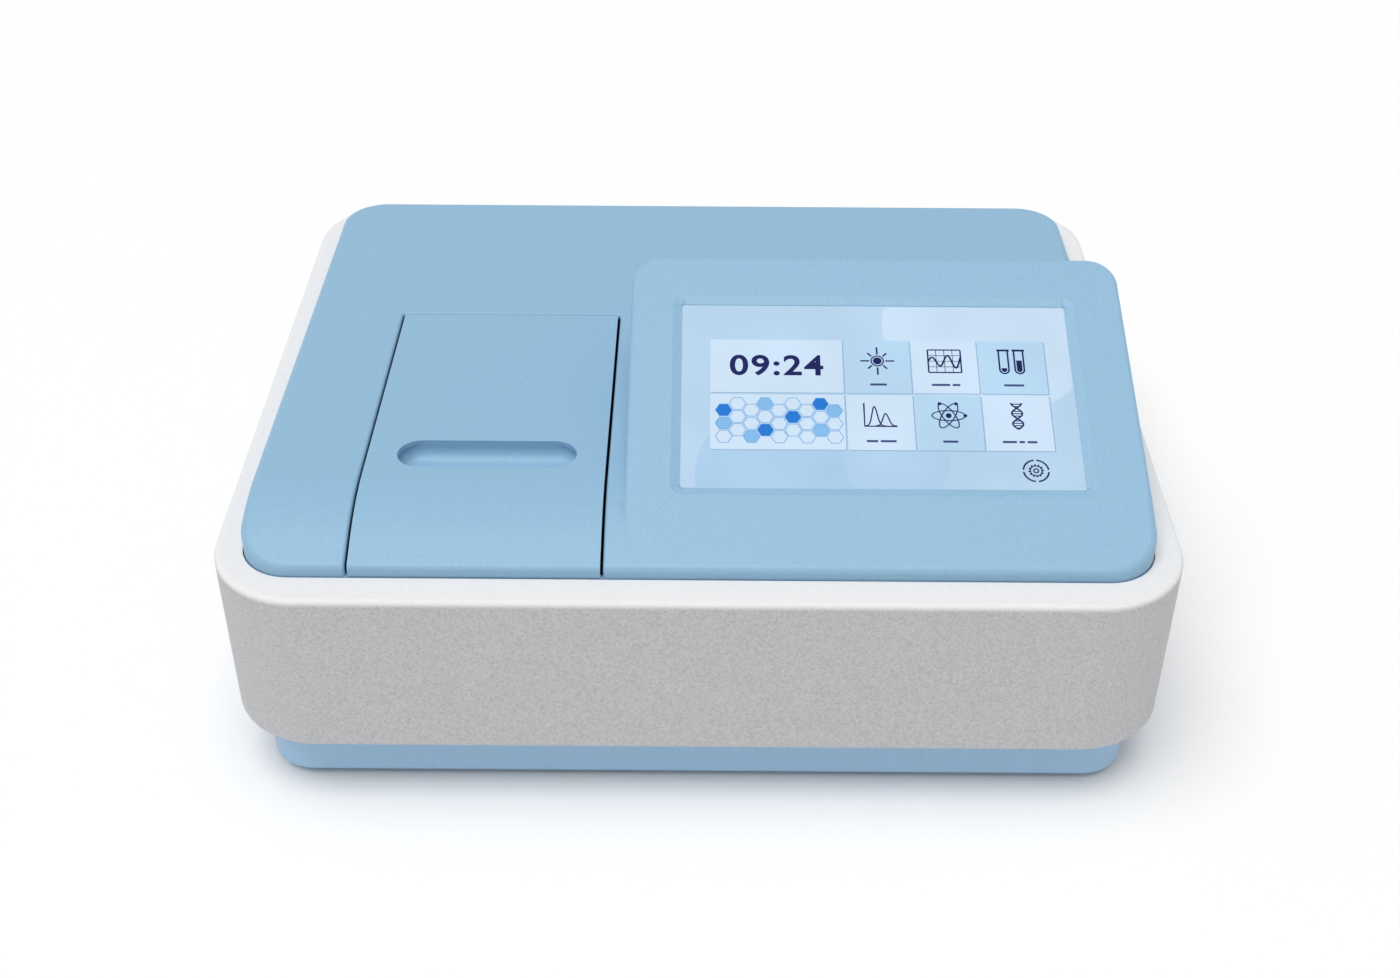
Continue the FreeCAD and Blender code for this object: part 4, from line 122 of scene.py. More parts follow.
def noise(material, size, detail=3.0, stretch=(1, 1, 1)):
    """Noise fixed to the piece, with features of about that size in metres."""
    tree = material.node_tree
    place = tree.nodes.new("ShaderNodeTexCoord")
    spread = tree.nodes.new("ShaderNodeMapping")
    spread.inputs["Scale"].default_value = [1 / (size * along) for along in stretch]
    cloud = tree.nodes.new("ShaderNodeTexNoise")
    cloud.inputs["Scale"].default_value = 1.0
    cloud.inputs["Detail"].default_value = detail
    tree.links.new(place.outputs["Object"], spread.inputs["Vector"])
    tree.links.new(spread.outputs["Vector"], cloud.inputs["Vector"])
    return cloud.outputs["Fac"]


def shade(material, shader, source, stops, socket="Base Color"):
    """Colours the surface by a source, through a ramp of (position, colour) stops."""
    tree = material.node_tree
    ramp = tree.nodes.new("ShaderNodeValToRGB")
    ramp.color_ramp.elements[0].position, colour = stops[0]
    ramp.color_ramp.elements[0].color = (*colour, 1)
    ramp.color_ramp.elements[1].position, colour = stops[-1]
    ramp.color_ramp.elements[1].color = (*colour, 1)
    for position, colour in stops[1:-1]:
        ramp.color_ramp.elements.new(position).color = (*colour, 1)
    tree.links.new(source, ramp.inputs["Fac"])
    tree.links.new(ramp.outputs["Color"], shader.inputs[socket])
    return ramp


def roughen(material, shader, source, low, high):
    """Makes the gloss uneven between two roughnesses."""
    tree = material.node_tree
    band = tree.nodes.new("ShaderNodeMapRange")
    band.inputs["From Min"].default_value = 0.3
    band.inputs["From Max"].default_value = 0.7
    band.inputs["To Min"].default_value = low
    band.inputs["To Max"].default_value = high
    tree.links.new(source, band.inputs["Value"])
    tree.links.new(band.outputs["Result"], shader.inputs["Roughness"])


def emboss(material, shader, source, depth, strength=1.0):
    """Raises the surface by a source, up to that depth in metres."""
    tree = material.node_tree
    bump = tree.nodes.new("ShaderNodeBump")
    bump.inputs["Strength"].default_value = strength
    bump.inputs["Distance"].default_value = depth
    tree.links.new(source, bump.inputs["Height"])
    tree.links.new(bump.outputs["Normal"], shader.inputs["Normal"])


def dress(material, slot, *names):
    """Gives model pieces their finish."""
    for name in names:
        nodes[name].data.materials.clear()
        nodes[name].data.materials.append(material)


def tinted(colour, share):
    """The colour made lighter or darker by a share."""
    return tuple(min(1.0, channel * share) for channel in colour)


def blue_moulding(name, colour):
    """Light blue plastic with the fine satin texture of a blasted mould."""
    material, shader = finish(name, colour, 0.44)
    shade(material, shader, noise(material, 0.0016, 4.0),
          [(0.3, tinted(colour, 0.955)), (0.5, colour), (0.72, tinted(colour, 1.04))])
    roughen(material, shader, noise(material, 0.003), 0.4, 0.5)
    emboss(material, shader, noise(material, 0.0009, 2.0), 0.00006, 0.55)
    shader.inputs["Specular IOR Level"].default_value = 0.42
    return material


# The plinth's blue is painted lighter than the cover's, though it is the same plastic: painted light
# for the shade under the belt.
dress(blue_moulding("plinth_blue_painted_light", (0.362, 0.57, 0.78)), "blue_plastic", "base_tray")


# The feet: four turned pads of black rubber, pressed into the floor of the plinth.  They
# are dull and a little pitted, and raise the plinth just clear of the table.
rubber_black, shader = finish("foot_rubber", (0.028, 0.028, 0.03), 0.85)
shade(rubber_black, shader, noise(rubber_black, 0.004),
      [(0.3, (0.02, 0.02, 0.021)), (0.7, (0.04, 0.04, 0.042))])
emboss(rubber_black, shader, noise(rubber_black, 0.0007), 0.0001, 0.6)
dress(rubber_black, "black_rubber", "rubber_feet")


# The optical bench and the housings that stand on it are aluminium castings: a pebbled
# grey skin, duller in the hollows.  The bench is screwed down at its four corners.
cast_grey, shader = finish("cast_aluminium", (0.36, 0.37, 0.38), 0.5, 0.85)
shade(cast_grey, shader, noise(cast_grey, 0.012, 5.0),
      [(0.3, (0.27, 0.275, 0.285)), (0.7, (0.43, 0.44, 0.45))])
roughen(cast_grey, shader, noise(cast_grey, 0.004), 0.42, 0.62)
emboss(cast_grey, shader, noise(cast_grey, 0.0018, 4.0), 0.0003, 0.8)
dress(cast_grey, "cast_alloy", "optical_bench", "mono_housing", "lamp_house", "detector_housing")


# The screws of the bench, the rear panel and the fan, and the pin of the hinge, are turned
# from bright steel and left bare, with a faint uneven gloss.
bright_steel, shader = finish("bright_steel", (0.56, 0.56, 0.57), 0.28, 1.0)
shade(bright_steel, shader, noise(bright_steel, 0.003, 3.0),
      [(0.3, (0.48, 0.48, 0.49)), (0.7, (0.64, 0.64, 0.65))])
roughen(bright_steel, shader, noise(bright_steel, 0.002), 0.22, 0.38)
dress(bright_steel, "steel_pin", "bench_screws", "fan_screws", "panel_screws", "hinge_pin")


# The lead screw is ground from the same steel and runs forward from the back wall of the
# monochromator to its nut.  The thread is fine and has two starts, so that a ring shows at
# each millimetre.
def fixed_texture(material, kind, scale):
    """A texture of that kind and scale, fixed to the piece."""
    tree = material.node_tree
    place = tree.nodes.new("ShaderNodeTexCoord")
    texture = tree.nodes.new(kind)
    texture.inputs["Scale"].default_value = scale
    tree.links.new(place.outputs["Object"], texture.inputs["Vector"])
    return texture


thread_steel, shader = finish("thread_steel", (0.55, 0.55, 0.56), 0.25, 1.0)
# The thread's bands raise the crests and darken the roots: the darker roots are painted shade in the
# thread.
thread_relief_and_shade = fixed_texture(thread_steel, "ShaderNodeTexWave", 314.0)
thread_relief_and_shade.bands_direction = "Y"
shade(thread_steel, shader, thread_relief_and_shade.outputs["Fac"],
      [(0.1, (0.25, 0.25, 0.26)), (0.7, (0.62, 0.62, 0.63))])
emboss(thread_steel, shader, thread_relief_and_shade.outputs["Fac"], 0.0005)
dress(thread_steel, "steel_pin", "lead_screw")


# Each screw that shows has a crossed recess in its head, pressed in cold.  Here each one is
# a black cross laid just proud of the head: painted shade for the shadow in the recess.
recess_painted_shade, shader = finish("recess_painted_shade", (0.02, 0.02, 0.02), 0.6)
shade(recess_painted_shade, shader, noise(recess_painted_shade, 0.0008),
      [(0.3, (0.012, 0.012, 0.012)), (0.7, (0.05, 0.05, 0.05))])
cross_turn, cross_narrow, cross_slope, cross_lift = 0.4, 0.2, 0.22, 0.00005


def piece(name, mesh, material, body):
    """Enters a finished mesh as a piece that rides on a body."""
    thing = bpy.data.objects.new(name, mesh)
    mesh.materials.append(material)
    scene.collection.objects.link(thing)
    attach(thing, body)
    return thing


def painted_recess_crosses(name, places, face, span):
    """Crosses of two bevelled bars, laid just proud of screw heads that face backwards, in black:
    painted shade of their recesses.
    """
    made = bmesh.new()
    for x, z in places:
        for tilt in (cross_turn, cross_turn + math.pi / 2):
            along = Vector((math.cos(tilt), 0, math.sin(tilt)))
            aside = Vector((-math.sin(tilt), 0, math.cos(tilt)))
            middle = Vector((x, face, z))
            low = [middle + along * a * span + aside * b * span * cross_narrow for a, b in
                   ((-1, -1), (1, -1), (1, 1), (-1, 1))]
            top = [point.lerp(middle, cross_slope) + Vector((0, cross_lift, 0)) for point in low]
            corners = [made.verts.new(point) for point in low + top]
            made.faces.new(corners[4:])
            for i in range(4):
                after = (i + 1) % 4
                made.faces.new((corners[i], corners[after], corners[4 + after], corners[4 + i]))
    bmesh.ops.recalc_face_normals(made, faces=made.faces)
    mesh = bpy.data.meshes.new(name)
    made.to_mesh(mesh)
    made.free()
    return piece(name, mesh, recess_painted_shade, "casing")


panel_head, panel_cross, fan_head, fan_cross = 0.003, 0.0016, 0.0038, 0.002
# The black crosses on the panel's and the fan's screws are painted shade for their recesses.
low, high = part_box("panel_screws")
painted_recess_crosses("panel_screw_recess_shade",
                 [(x, z) for x in (low[0] + panel_head, (low[0] + high[0]) / 2, high[0] - panel_head)
                  for z in (low[2] + panel_head, high[2] - panel_head)], high[1], panel_cross)
low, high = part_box("fan_screws")
painted_recess_crosses("fan_screw_recess_shade",
                 [(x, z) for x in (low[0] + fan_head, high[0] - fan_head)
                  for z in (low[2] + fan_head, high[2] - fan_head)], high[1], fan_cross)


# The monochromator's cover and slit plates are painted matt black against stray light.
# Its mirrors and the ruled grating are glass blocks, silvered on the front.
baffle_black, shader = finish("baffle_black", (0.03, 0.03, 0.03), 0.8)
shade(baffle_black, shader, noise(baffle_black, 0.005),
      [(0.3, (0.022, 0.022, 0.023)), (0.7, (0.045, 0.045, 0.046))])
emboss(baffle_black, shader, noise(baffle_black, 0.0008), 0.0001, 0.5)
dress(baffle_black, "black_paint", "mono_cover", "slit_plates")

silvered, shader = finish("front_silver", (0.86, 0.87, 0.89), 0.03, 1.0)
shade(silvered, shader, noise(silvered, 0.02), [(0.3, (0.83, 0.84, 0.86)), (0.7, (0.89, 0.9, 0.92))])
dress(silvered, "mirror_coat", "collimating_mirror", "focusing_mirror", "fold_mirrors",
      "sample_fold_mirror", "source_mirror")

# The grating's purple, blue, green and gold bands are painted colour: a painted reflection of the
# spectrum its rulings split light into.
ruled, shader = finish("ruled_face_painted_rainbow", (0.7, 0.72, 0.78), 0.12, 1.0)
grooves_and_rainbow = fixed_texture(ruled, "ShaderNodeTexWave", 120.0)
grooves_and_rainbow.inputs["Distortion"].default_value = 1.5
shade(ruled, shader, grooves_and_rainbow.outputs["Fac"],
      [(0.0, (0.62, 0.4, 0.72)), (0.35, (0.4, 0.62, 0.8)),
       (0.65, (0.5, 0.75, 0.5)), (1.0, (0.82, 0.72, 0.42))])
emboss(ruled, shader, grooves_and_rainbow.outputs["Fac"], 0.00005, 0.3)
dress(ruled, "mirror_coat", "grating")


# Turned and milled parts of bare aluminium: the grating's table with its arm, the filter
# wheel, and the finned cover over the lamps.  The drive nut is brass.
milled, shader = finish("milled_aluminium", (0.7, 0.71, 0.72), 0.34, 1.0)
shade(milled, shader, noise(milled, 0.0012, 2.0, (8, 0.6, 1)),
      [(0.3, (0.58, 0.59, 0.6)), (0.7, (0.76, 0.77, 0.78))])
roughen(milled, shader, noise(milled, 0.001, 2.0, (8, 0.6, 1)), 0.26, 0.44)
dress(milled, "machined_alloy", "grating_table", "filter_wheel", "lamp_cover")
turned_brass, shader = finish("turned_brass", (0.72, 0.52, 0.22), 0.3, 1.0)
shade(turned_brass, shader, noise(turned_brass, 0.002, 2.0, (1, 0.4, 1)),
      [(0.3, (0.6, 0.42, 0.17)), (0.7, (0.78, 0.58, 0.27))])
roughen(turned_brass, shader, noise(turned_brass, 0.001), 0.24, 0.4)
dress(turned_brass, "brass_nut", "drive_nut")


# The motors' cans and the photodiodes' caps are drawn from steel strip: a dull lengthwise
# grain with slight stains.
drawn_steel, shader = finish("drawn_steel", (0.42, 0.42, 0.43), 0.4, 1.0)
shade(drawn_steel, shader, noise(drawn_steel, 0.0014, 3.0, (1, 1, 9)),
      [(0.3, (0.33, 0.33, 0.34)), (0.7, (0.5, 0.5, 0.51))])
roughen(drawn_steel, shader, noise(drawn_steel, 0.006), 0.32, 0.5)
dress(drawn_steel, "motor_steel", "grating_motor", "mirror_motor", "filter_motor", "photodiodes")


# The lamps: clear quartz envelopes on white unglazed ceramic holders.  The beam windows,
# lenses and the splitter are polished silica.
def clear_silica(name, colour, roughness, clearness, low, high):
    """Clear fused silica, between two faint tints."""
    material, shader = finish(name, colour, roughness)
    shader.inputs["Transmission Weight"].default_value = clearness
    shader.inputs["IOR"].default_value = 1.46
    shade(material, shader, noise(material, 0.01), [(0.3, low), (0.7, high)])
    return material


quartz = clear_silica("lamp_quartz", (0.93, 0.95, 0.96), 0.04, 0.85,
                      (0.9, 0.92, 0.94), (0.97, 0.98, 0.98))
dress(quartz, "lamp_glass", "deuterium_lamp", "halogen_lamp")
polished = clear_silica("polished_silica", (0.92, 0.95, 0.97), 0.02, 0.9,
                        (0.9, 0.94, 0.96), (0.96, 0.98, 0.99))
dress(polished, "silica", "beam_splitter", "beam_windows", "detector_lenses")
ceramic, shader = finish("unglazed_ceramic", (0.84, 0.82, 0.77), 0.8)
shade(ceramic, shader, noise(ceramic, 0.003), [(0.3, (0.78, 0.76, 0.7)), (0.7, (0.88, 0.87, 0.82))])
emboss(ceramic, shader, noise(ceramic, 0.0006), 0.0001, 0.5)
dress(ceramic, "ceramic_white", "lamp_sockets")


# The sample compartment, its carrier and the two cell holders are aluminium, anodised
# black and matt, with the faint lines of the mill left on them.
anodised, shader = finish("black_anodised", (0.032, 0.032, 0.036), 0.5, 0.55)
shade(anodised, shader, noise(anodised, 0.0016, 2.0, (1, 1, 6)),
      [(0.3, (0.024, 0.024, 0.028)), (0.7, (0.046, 0.046, 0.05))])
roughen(anodised, shader, noise(anodised, 0.004), 0.42, 0.6)
emboss(anodised, shader, noise(anodised, 0.0006), 0.00006, 0.4)
dress(anodised, "black_anodised", "compartment_well", "cell_carrier", "sample_holder",
      "reference_holder", "divider_base")


# The seal: a square strip of black open-cell foam, glued round the compartment's mouth, on
# which the frame under the lid closes against stray light.
foam, shader = finish("seal_foam", (0.025, 0.025, 0.026), 0.95)
# The pores are darker where they sink in: painted shade in the hollows of the foam.
pores_and_shade = fixed_texture(foam, "ShaderNodeTexVoronoi", 1300.0)
shade(foam, shader, pores_and_shade.outputs["Distance"],
      [(0.0, (0.008, 0.008, 0.008)), (0.6, (0.05, 0.05, 0.052))])
emboss(foam, shader, pores_and_shade.outputs["Distance"], 0.0004)
dress(foam, "black_foam", "lid_seal")


# The circuit boards: green solder mask with finer traces under it.  On the flat boards
# the parts above the surface are dark, and the posts below it are bright metal.
board_rise, mask_depth, board_depth = 0.0076, 0.0002, 0.0018


def piece_axes(material):
    """The place on the piece, parted into its three axes."""
    tree = material.node_tree
    place = tree.nodes.new("ShaderNodeTexCoord")
    axes = tree.nodes.new("ShaderNodeSeparateXYZ")
    tree.links.new(place.outputs["Object"], axes.inputs["Vector"])
    return axes


def solder_mask(name, board_top=None):
    """Green mask over traces; for a flat board, with dark parts above it and bright posts below."""
    material, shader = finish(name, (0.03, 0.2, 0.08), 0.35)
    tree = material.node_tree
    traces = fixed_texture(material, "ShaderNodeTexBrick", 90.0)
    traces.inputs["Mortar Size"].default_value = 0.012
    traces.inputs["Color1"].default_value = (0.018, 0.15, 0.06, 1)
    traces.inputs["Color2"].default_value = (0.024, 0.18, 0.075, 1)
    traces.inputs["Mortar"].default_value = (0.09, 0.34, 0.14, 1)
    colour = traces.outputs["Color"]
    if board_top is not None:
        axes = piece_axes(material)
        for height, above, tint in ((board_top + mask_depth, True, (0.035, 0.035, 0.04)),
                                    (board_top - board_depth, False, (0.6, 0.58, 0.5))):
            side = tree.nodes.new("ShaderNodeMath")
            side.operation = "GREATER_THAN" if above else "LESS_THAN"
            side.inputs[1].default_value = height
            blend = tree.nodes.new("ShaderNodeMix")
            blend.data_type = "RGBA"
            first, second = [socket for socket in blend.inputs if socket.type == "RGBA"]
            second.default_value = (*tint, 1)
            tree.links.new(axes.outputs["Z"], side.inputs[0])
            tree.links.new(side.outputs["Value"], blend.inputs["Factor"])
            tree.links.new(colour, first)
            colour = [socket for socket in blend.outputs if socket.type == "RGBA"][0]
    tree.links.new(colour, shader.inputs["Base Color"])
    emboss(material, shader, traces.outputs["Fac"], 0.0001, 0.4)
    return material


flat_board_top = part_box("main_board")[0][2] + board_rise
dress(solder_mask("board_green", flat_board_top), "circuit_board", "main_board", "lamp_supply")
dress(solder_mask("module_green"), "circuit_board", "display_board", "detector_board")


# Sheet steel, zinc plated and passivated: the display's pan, the hinge bracket and the
# folded cover of the power supply.  The plating shows its spangle.
zinc, shader = finish("zinc_plate", (0.6, 0.61, 0.62), 0.36, 0.95)
spangle = fixed_texture(zinc, "ShaderNodeTexVoronoi", 190.0)
shade(zinc, shader, spangle.outputs["Color"], [(0.2, (0.5, 0.51, 0.52)), (0.8, (0.68, 0.69, 0.7))])
roughen(zinc, shader, noise(zinc, 0.005), 0.3, 0.46)
dress(zinc, "zinc_sheet", "display_pan", "hinge_bracket", "power_supply")

# The display module has a folded back of bare stainless sheet, brushed one way.  It lies in
# the pan, behind the glass.
module_back, shader = finish("module_back", (0.6, 0.6, 0.6), 0.3, 1.0)
shade(module_back, shader, noise(module_back, 0.0012, 2.0, (9, 1, 1)),
      [(0.3, (0.5, 0.5, 0.5)), (0.7, (0.68, 0.68, 0.68))])
dress(module_back, "module_metal", "lcd_module")


# The rear panel: folded steel under a light grey powder coat with a fine orange-peel skin.
# Six screws hold it in the back of the belt.
powder, shader = finish("powder_coat", (0.6, 0.61, 0.63), 0.55)
shade(powder, shader, noise(powder, 0.004), [(0.3, (0.57, 0.58, 0.6)), (0.7, (0.63, 0.64, 0.66))])
emboss(powder, shader, noise(powder, 0.0011, 2.0), 0.00012, 0.6)
dress(powder, "panel_paint", "rear_panel")


# The fan, the inlet and the switch's frame are moulded in black glass-filled plastic, and
# the rocker in a glossier one.
moulded_black, shader = finish("moulded_black", (0.028, 0.028, 0.03), 0.5)
shade(moulded_black, shader, noise(moulded_black, 0.003),
      [(0.3, (0.022, 0.022, 0.023)), (0.7, (0.038, 0.038, 0.04))])
roughen(moulded_black, shader, noise(moulded_black, 0.002), 0.42, 0.6)
emboss(moulded_black, shader, noise(moulded_black, 0.0005), 0.00005, 0.5)
dress(moulded_black, "black_plastic", "fan_frame", "fan_rotor", "power_inlet", "switch_frame")
rocker_black, shader = finish("rocker_black", (0.02, 0.02, 0.021), 0.16)
shade(rocker_black, shader, noise(rocker_black, 0.006),
      [(0.3, (0.016, 0.016, 0.017)), (0.7, (0.026, 0.026, 0.027))])
roughen(rocker_black, shader, noise(rocker_black, 0.004), 0.12, 0.22)
dress(rocker_black, "rocker_plastic", "power_rocker")


# The fan's guard is welded from round wire and the shells of the sockets are drawn from
# sheet; both are nickel plated.
nickel, shader = finish("nickel_plate", (0.68, 0.67, 0.65), 0.2, 1.0)
shade(nickel, shader, noise(nickel, 0.003), [(0.3, (0.6, 0.59, 0.57)), (0.7, (0.74, 0.73, 0.71))])
roughen(nickel, shader, noise(nickel, 0.002), 0.14, 0.28)
dress(nickel, "chrome_wire", "data_sockets", "fan_guard")


# The rocker's marks are pad-printed in white ink on its two wings: a bar for on above, and
# a ring for off below.
print_white, shader = finish("print_white", (0.8, 0.8, 0.79), 0.5)
shade(print_white, shader, noise(print_white, 0.0005),
      [(0.3, (0.7, 0.7, 0.69)), (0.7, (0.86, 0.86, 0.85))])
low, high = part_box("power_rocker")
rocker_middle_x, rocker_middle_z = (low[0] + high[0]) / 2, (low[2] + high[2]) / 2
wing_rise, wing_depth, crown, ink_lift = (high[2] - low[2]) / 2, 0.002, high[1], 0.00004


def on_rocker(aside, up):
    """A point just off the rocker's face, whose two wings rise from the valley in its middle."""
    return Vector((rocker_middle_x + aside,
                   crown - wing_depth * (1 - abs(up) / wing_rise) + ink_lift,
                   rocker_middle_z + up))


mark_place, bar_across, bar_up = 0.0062, 0.0005, 0.0017
ring_inner, ring_outer, ring_steps = 0.0011, 0.0018, 32
marks = bmesh.new()
marks.faces.new([marks.verts.new(on_rocker(a * bar_across, mark_place + b * bar_up))
                 for a, b in ((-1, -1), (1, -1), (1, 1), (-1, 1))])
ring_turns = [2 * math.pi * i / ring_steps for i in range(ring_steps)]
ring_loops = [[marks.verts.new(on_rocker(radius * math.cos(a), radius * math.sin(a) - mark_place))
               for a in ring_turns] for radius in (ring_inner, ring_outer)]
for i in range(ring_steps):
    after = (i + 1) % ring_steps
    marks.faces.new((ring_loops[0][i], ring_loops[0][after], ring_loops[1][after], ring_loops[1][i]))
bmesh.ops.recalc_face_normals(marks, faces=marks.faces)
mark_mesh = bpy.data.meshes.new("rocker_marks")
marks.to_mesh(mark_mesh)
marks.free()
piece("rocker_marks", mark_mesh, print_white, "rocker")


# The contacts in the two data sockets: nine round pins in two rows, and four flat leaves,
# two on top of the tongue and two under it, all gold flashed.
gold, shader = finish("gold_flash", (0.78, 0.58, 0.25), 0.25, 1.0)
shade(gold, shader, noise(gold, 0.001), [(0.3, (0.7, 0.5, 0.2)), (0.7, (0.84, 0.64, 0.3))])
low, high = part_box("data_sockets")
socket_level, serial_middle, usb_middle = (low[2] + high[2]) / 2, -0.03, 0.015
pin_rows, pin_pitch = ((0.0028, 5), (-0.0028, 4)), 0.0027
pin_base, pin_reach, pin_radius, pin_sides = 0.2145, 0.0045, 0.00045, 12
taper_start, tip_share = 0.85, 0.4
pin_profile = ((pin_base, pin_radius), (pin_base + pin_reach * taper_start, pin_radius),
               (pin_base + pin_reach, pin_radius * tip_share))
contacts = bmesh.new()
for row, count in pin_rows:
    for i in range(count):
        x = serial_middle + (i - (count - 1) / 2) * pin_pitch
        z = socket_level + row
        rings = [[contacts.verts.new((x + radius * math.cos(2 * math.pi * k / pin_sides), y,
                                      z + radius * math.sin(2 * math.pi * k / pin_sides)))
                  for k in range(pin_sides)] for y, radius in pin_profile]
        for first, second in zip(rings, rings[1:]):
            for k in range(pin_sides):
                after = (k + 1) % pin_sides
                contacts.faces.new((first[k], first[after], second[after], second[k]))
        contacts.faces.new(rings[-1])

tongue_half, leaf_root, leaf_tip = 0.001375, 0.2112, 0.2142
leaf_thick, leaf_wide, leaf_place = 0.00015, 0.0012, 0.0013
leaf_corners = ((-1, leaf_root), (1, leaf_root), (1, leaf_tip), (-1, leaf_tip))
leaf_faces = ((0, 1, 2, 3), (4, 5, 6, 7), (0, 1, 5, 4), (1, 2, 6, 5), (2, 3, 7, 6), (3, 0, 4, 7))
for place, side in ((-1, 1), (1, 1), (-1, -1), (1, -1)):
    corners = [contacts.verts.new((usb_middle + place * leaf_place + across * leaf_wide / 2, y,
                                   socket_level + side * (tongue_half + deep * leaf_thick)))
               for deep in (0, 1) for across, y in leaf_corners]
    for face in leaf_faces:
        contacts.faces.new([corners[k] for k in face])
bmesh.ops.recalc_face_normals(contacts, faces=contacts.faces)
contact_mesh = bpy.data.meshes.new("socket_contacts")
contacts.to_mesh(contact_mesh)
contacts.free()
piece("socket_contacts", contact_mesh, gold, "casing")


# The belt: the grey shell round the middle, moulded in plastic with a fine speckled grain
# that stays matt.  Its top rim is painted a whiter grey, a painted highlight where light falls.
shell_grey, shader = finish("shell_grey", (0.76, 0.76, 0.775), 0.62)
shell_tree = shell_grey.node_tree
# Over its top few millimetres the belt blends by height into a whiter grey: painted highlight on the
# rim.
belt_top, painted_highlight_band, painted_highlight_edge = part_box("belt_shell")[1][2], 0.0042, 0.0012
painted_highlight_share = shell_tree.nodes.new("ShaderNodeMapRange")
painted_highlight_share.inputs["From Min"].default_value = belt_top - painted_highlight_band
painted_highlight_share.inputs["From Max"].default_value = belt_top - painted_highlight_edge
shell_tree.links.new(piece_axes(shell_grey).outputs["Z"], painted_highlight_share.inputs["Value"])
speckle = noise(shell_grey, 0.0013, 4.0)
speckle_ramp = shade(shell_grey, shader, speckle,
                     [(0.3, (0.45, 0.45, 0.46)), (0.5, (0.54, 0.54, 0.552)), (0.7, (0.6, 0.6, 0.612))])
painted_highlight_ramp = shade(shell_grey, shader, noise(shell_grey, 0.002),
                 [(0.3, (0.8, 0.8, 0.81)), (0.7, (0.84, 0.84, 0.85))])
painted_highlight_blend = shell_tree.nodes.new("ShaderNodeMix")
painted_highlight_blend.data_type = "RGBA"
shell_tree.links.new(painted_highlight_share.outputs["Result"], painted_highlight_blend.inputs["Factor"])
flank_colour, painted_highlight_colour = [socket for socket in painted_highlight_blend.inputs if socket.type == "RGBA"]
shell_tree.links.new(speckle_ramp.outputs["Color"], flank_colour)
shell_tree.links.new(painted_highlight_ramp.outputs["Color"], painted_highlight_colour)
shell_colour = [socket for socket in painted_highlight_blend.outputs if socket.type == "RGBA"][0]
shell_tree.links.new(shell_colour, shader.inputs["Base Color"])
roughen(shell_grey, shader, noise(shell_grey, 0.002), 0.56, 0.7)
emboss(shell_grey, shader, speckle, 0.00022, 0.7)
dress(shell_grey, "grey_shell", "belt_shell")


# The top cover with its raised wedge and the lid beside it: one light blue plastic, the
# same satin texture, moulded in two pieces and fitted flush with a narrow seam.
cover_blue = blue_moulding("cover_blue", (0.281, 0.486, 0.668))
dress(cover_blue, "blue_plastic", "top_cover", "sample_lid")


# Two corners of the cover are trimmed, on a piece that stands for the model's cover.  Where
# the wedge rises out of the round at the front right, the soft edge runs into the wedge's
# crisper one; at the back right the wedge's round meets its leaning side.
cover_mesh = nodes["top_cover"].data.copy()
cover_mesh.materials.clear()
cover_moulding = piece("cover_moulding", cover_mesh, cover_blue, "casing")
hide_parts("top_cover")
slope_foot_y, slope_foot_z, slope_tilt = -0.2022, 0.1533, math.radians(21)
slope_rise = math.tan(slope_tilt)
soft_edge, crisp_edge = 0.0045, 0.0025


def trim_cover(name, outline, low, lean=0.0):
    """Trim the cover outside an outline of x, y, the outward direction and the edge's round."""
    clear, over_all, outside, edge_steps = 0.00002, 0.24, 0.006, 10
    cutter, sections = bmesh.new(), []
    for x, y, out_x, out_y, edge in outline:
        top = slope_foot_z + (y - slope_foot_y) * slope_rise
        rise = math.atan(-out_y * slope_rise)
        middle = top - edge * math.tan((math.pi / 2 - rise) / 2)
        profile = [(-clear, low)]
        for step in range(edge_steps + 1):
            a = math.pi + (rise - math.pi / 2) * step / edge_steps
            profile.append((edge + (edge + clear) * math.cos(a), middle + (edge + clear) * math.sin(a)))
        profile += [(profile[-1][0], over_all), (-outside, over_all), (-outside, low)]
        sections.append([cutter.verts.new((x - out_x * inward - (z - slope_foot_z) * lean,
                                           y - out_y * inward, z)) for inward, z in profile])
    for first, second in zip(sections, sections[1:]):
        for i in range(len(first)):
            after = (i + 1) % len(first)
            cutter.faces.new((first[i], first[after], second[after], second[i]))
    cutter.faces.new(sections[0][::-1])
    cutter.faces.new(sections[-1])
    bmesh.ops.recalc_face_normals(cutter, faces=cutter.faces)
    mesh = bpy.data.meshes.new(name)
    cutter.to_mesh(mesh)
    cutter.free()
    cutting = bpy.data.objects.new(name, mesh)
    scene.collection.objects.link(cutting)
    cutting.hide_render = True
    cutting.hide_viewport = True
    trimming = cover_moulding.modifiers.new(name, "BOOLEAN")
    trimming.operation = "DIFFERENCE"
    trimming.solver = "EXACT"
    trimming.object = cutting


corner_x, corner_y, corner_round, corner_turn = 0.2200, -0.1740, 0.0282, math.radians(52)
turn_steps, run_steps, edge_run, skirt_level = 16, 12, 0.042, 0.144
front_outline = []
for step in range(turn_steps + 1):
    a = corner_turn * (1 - step / turn_steps)
    front_outline.append((corner_x + corner_round * math.cos(a), corner_y - corner_round * math.sin(a),
                          math.cos(a), -math.sin(a), soft_edge))
for step in range(1, run_steps + 1):
    front_outline.append((corner_x + corner_round, corner_y + edge_run * step / run_steps, 1.0, 0.0,
                          soft_edge + (crisp_edge - soft_edge) * step / run_steps))
trim_cover("front_corner_trim", front_outline, skirt_level)

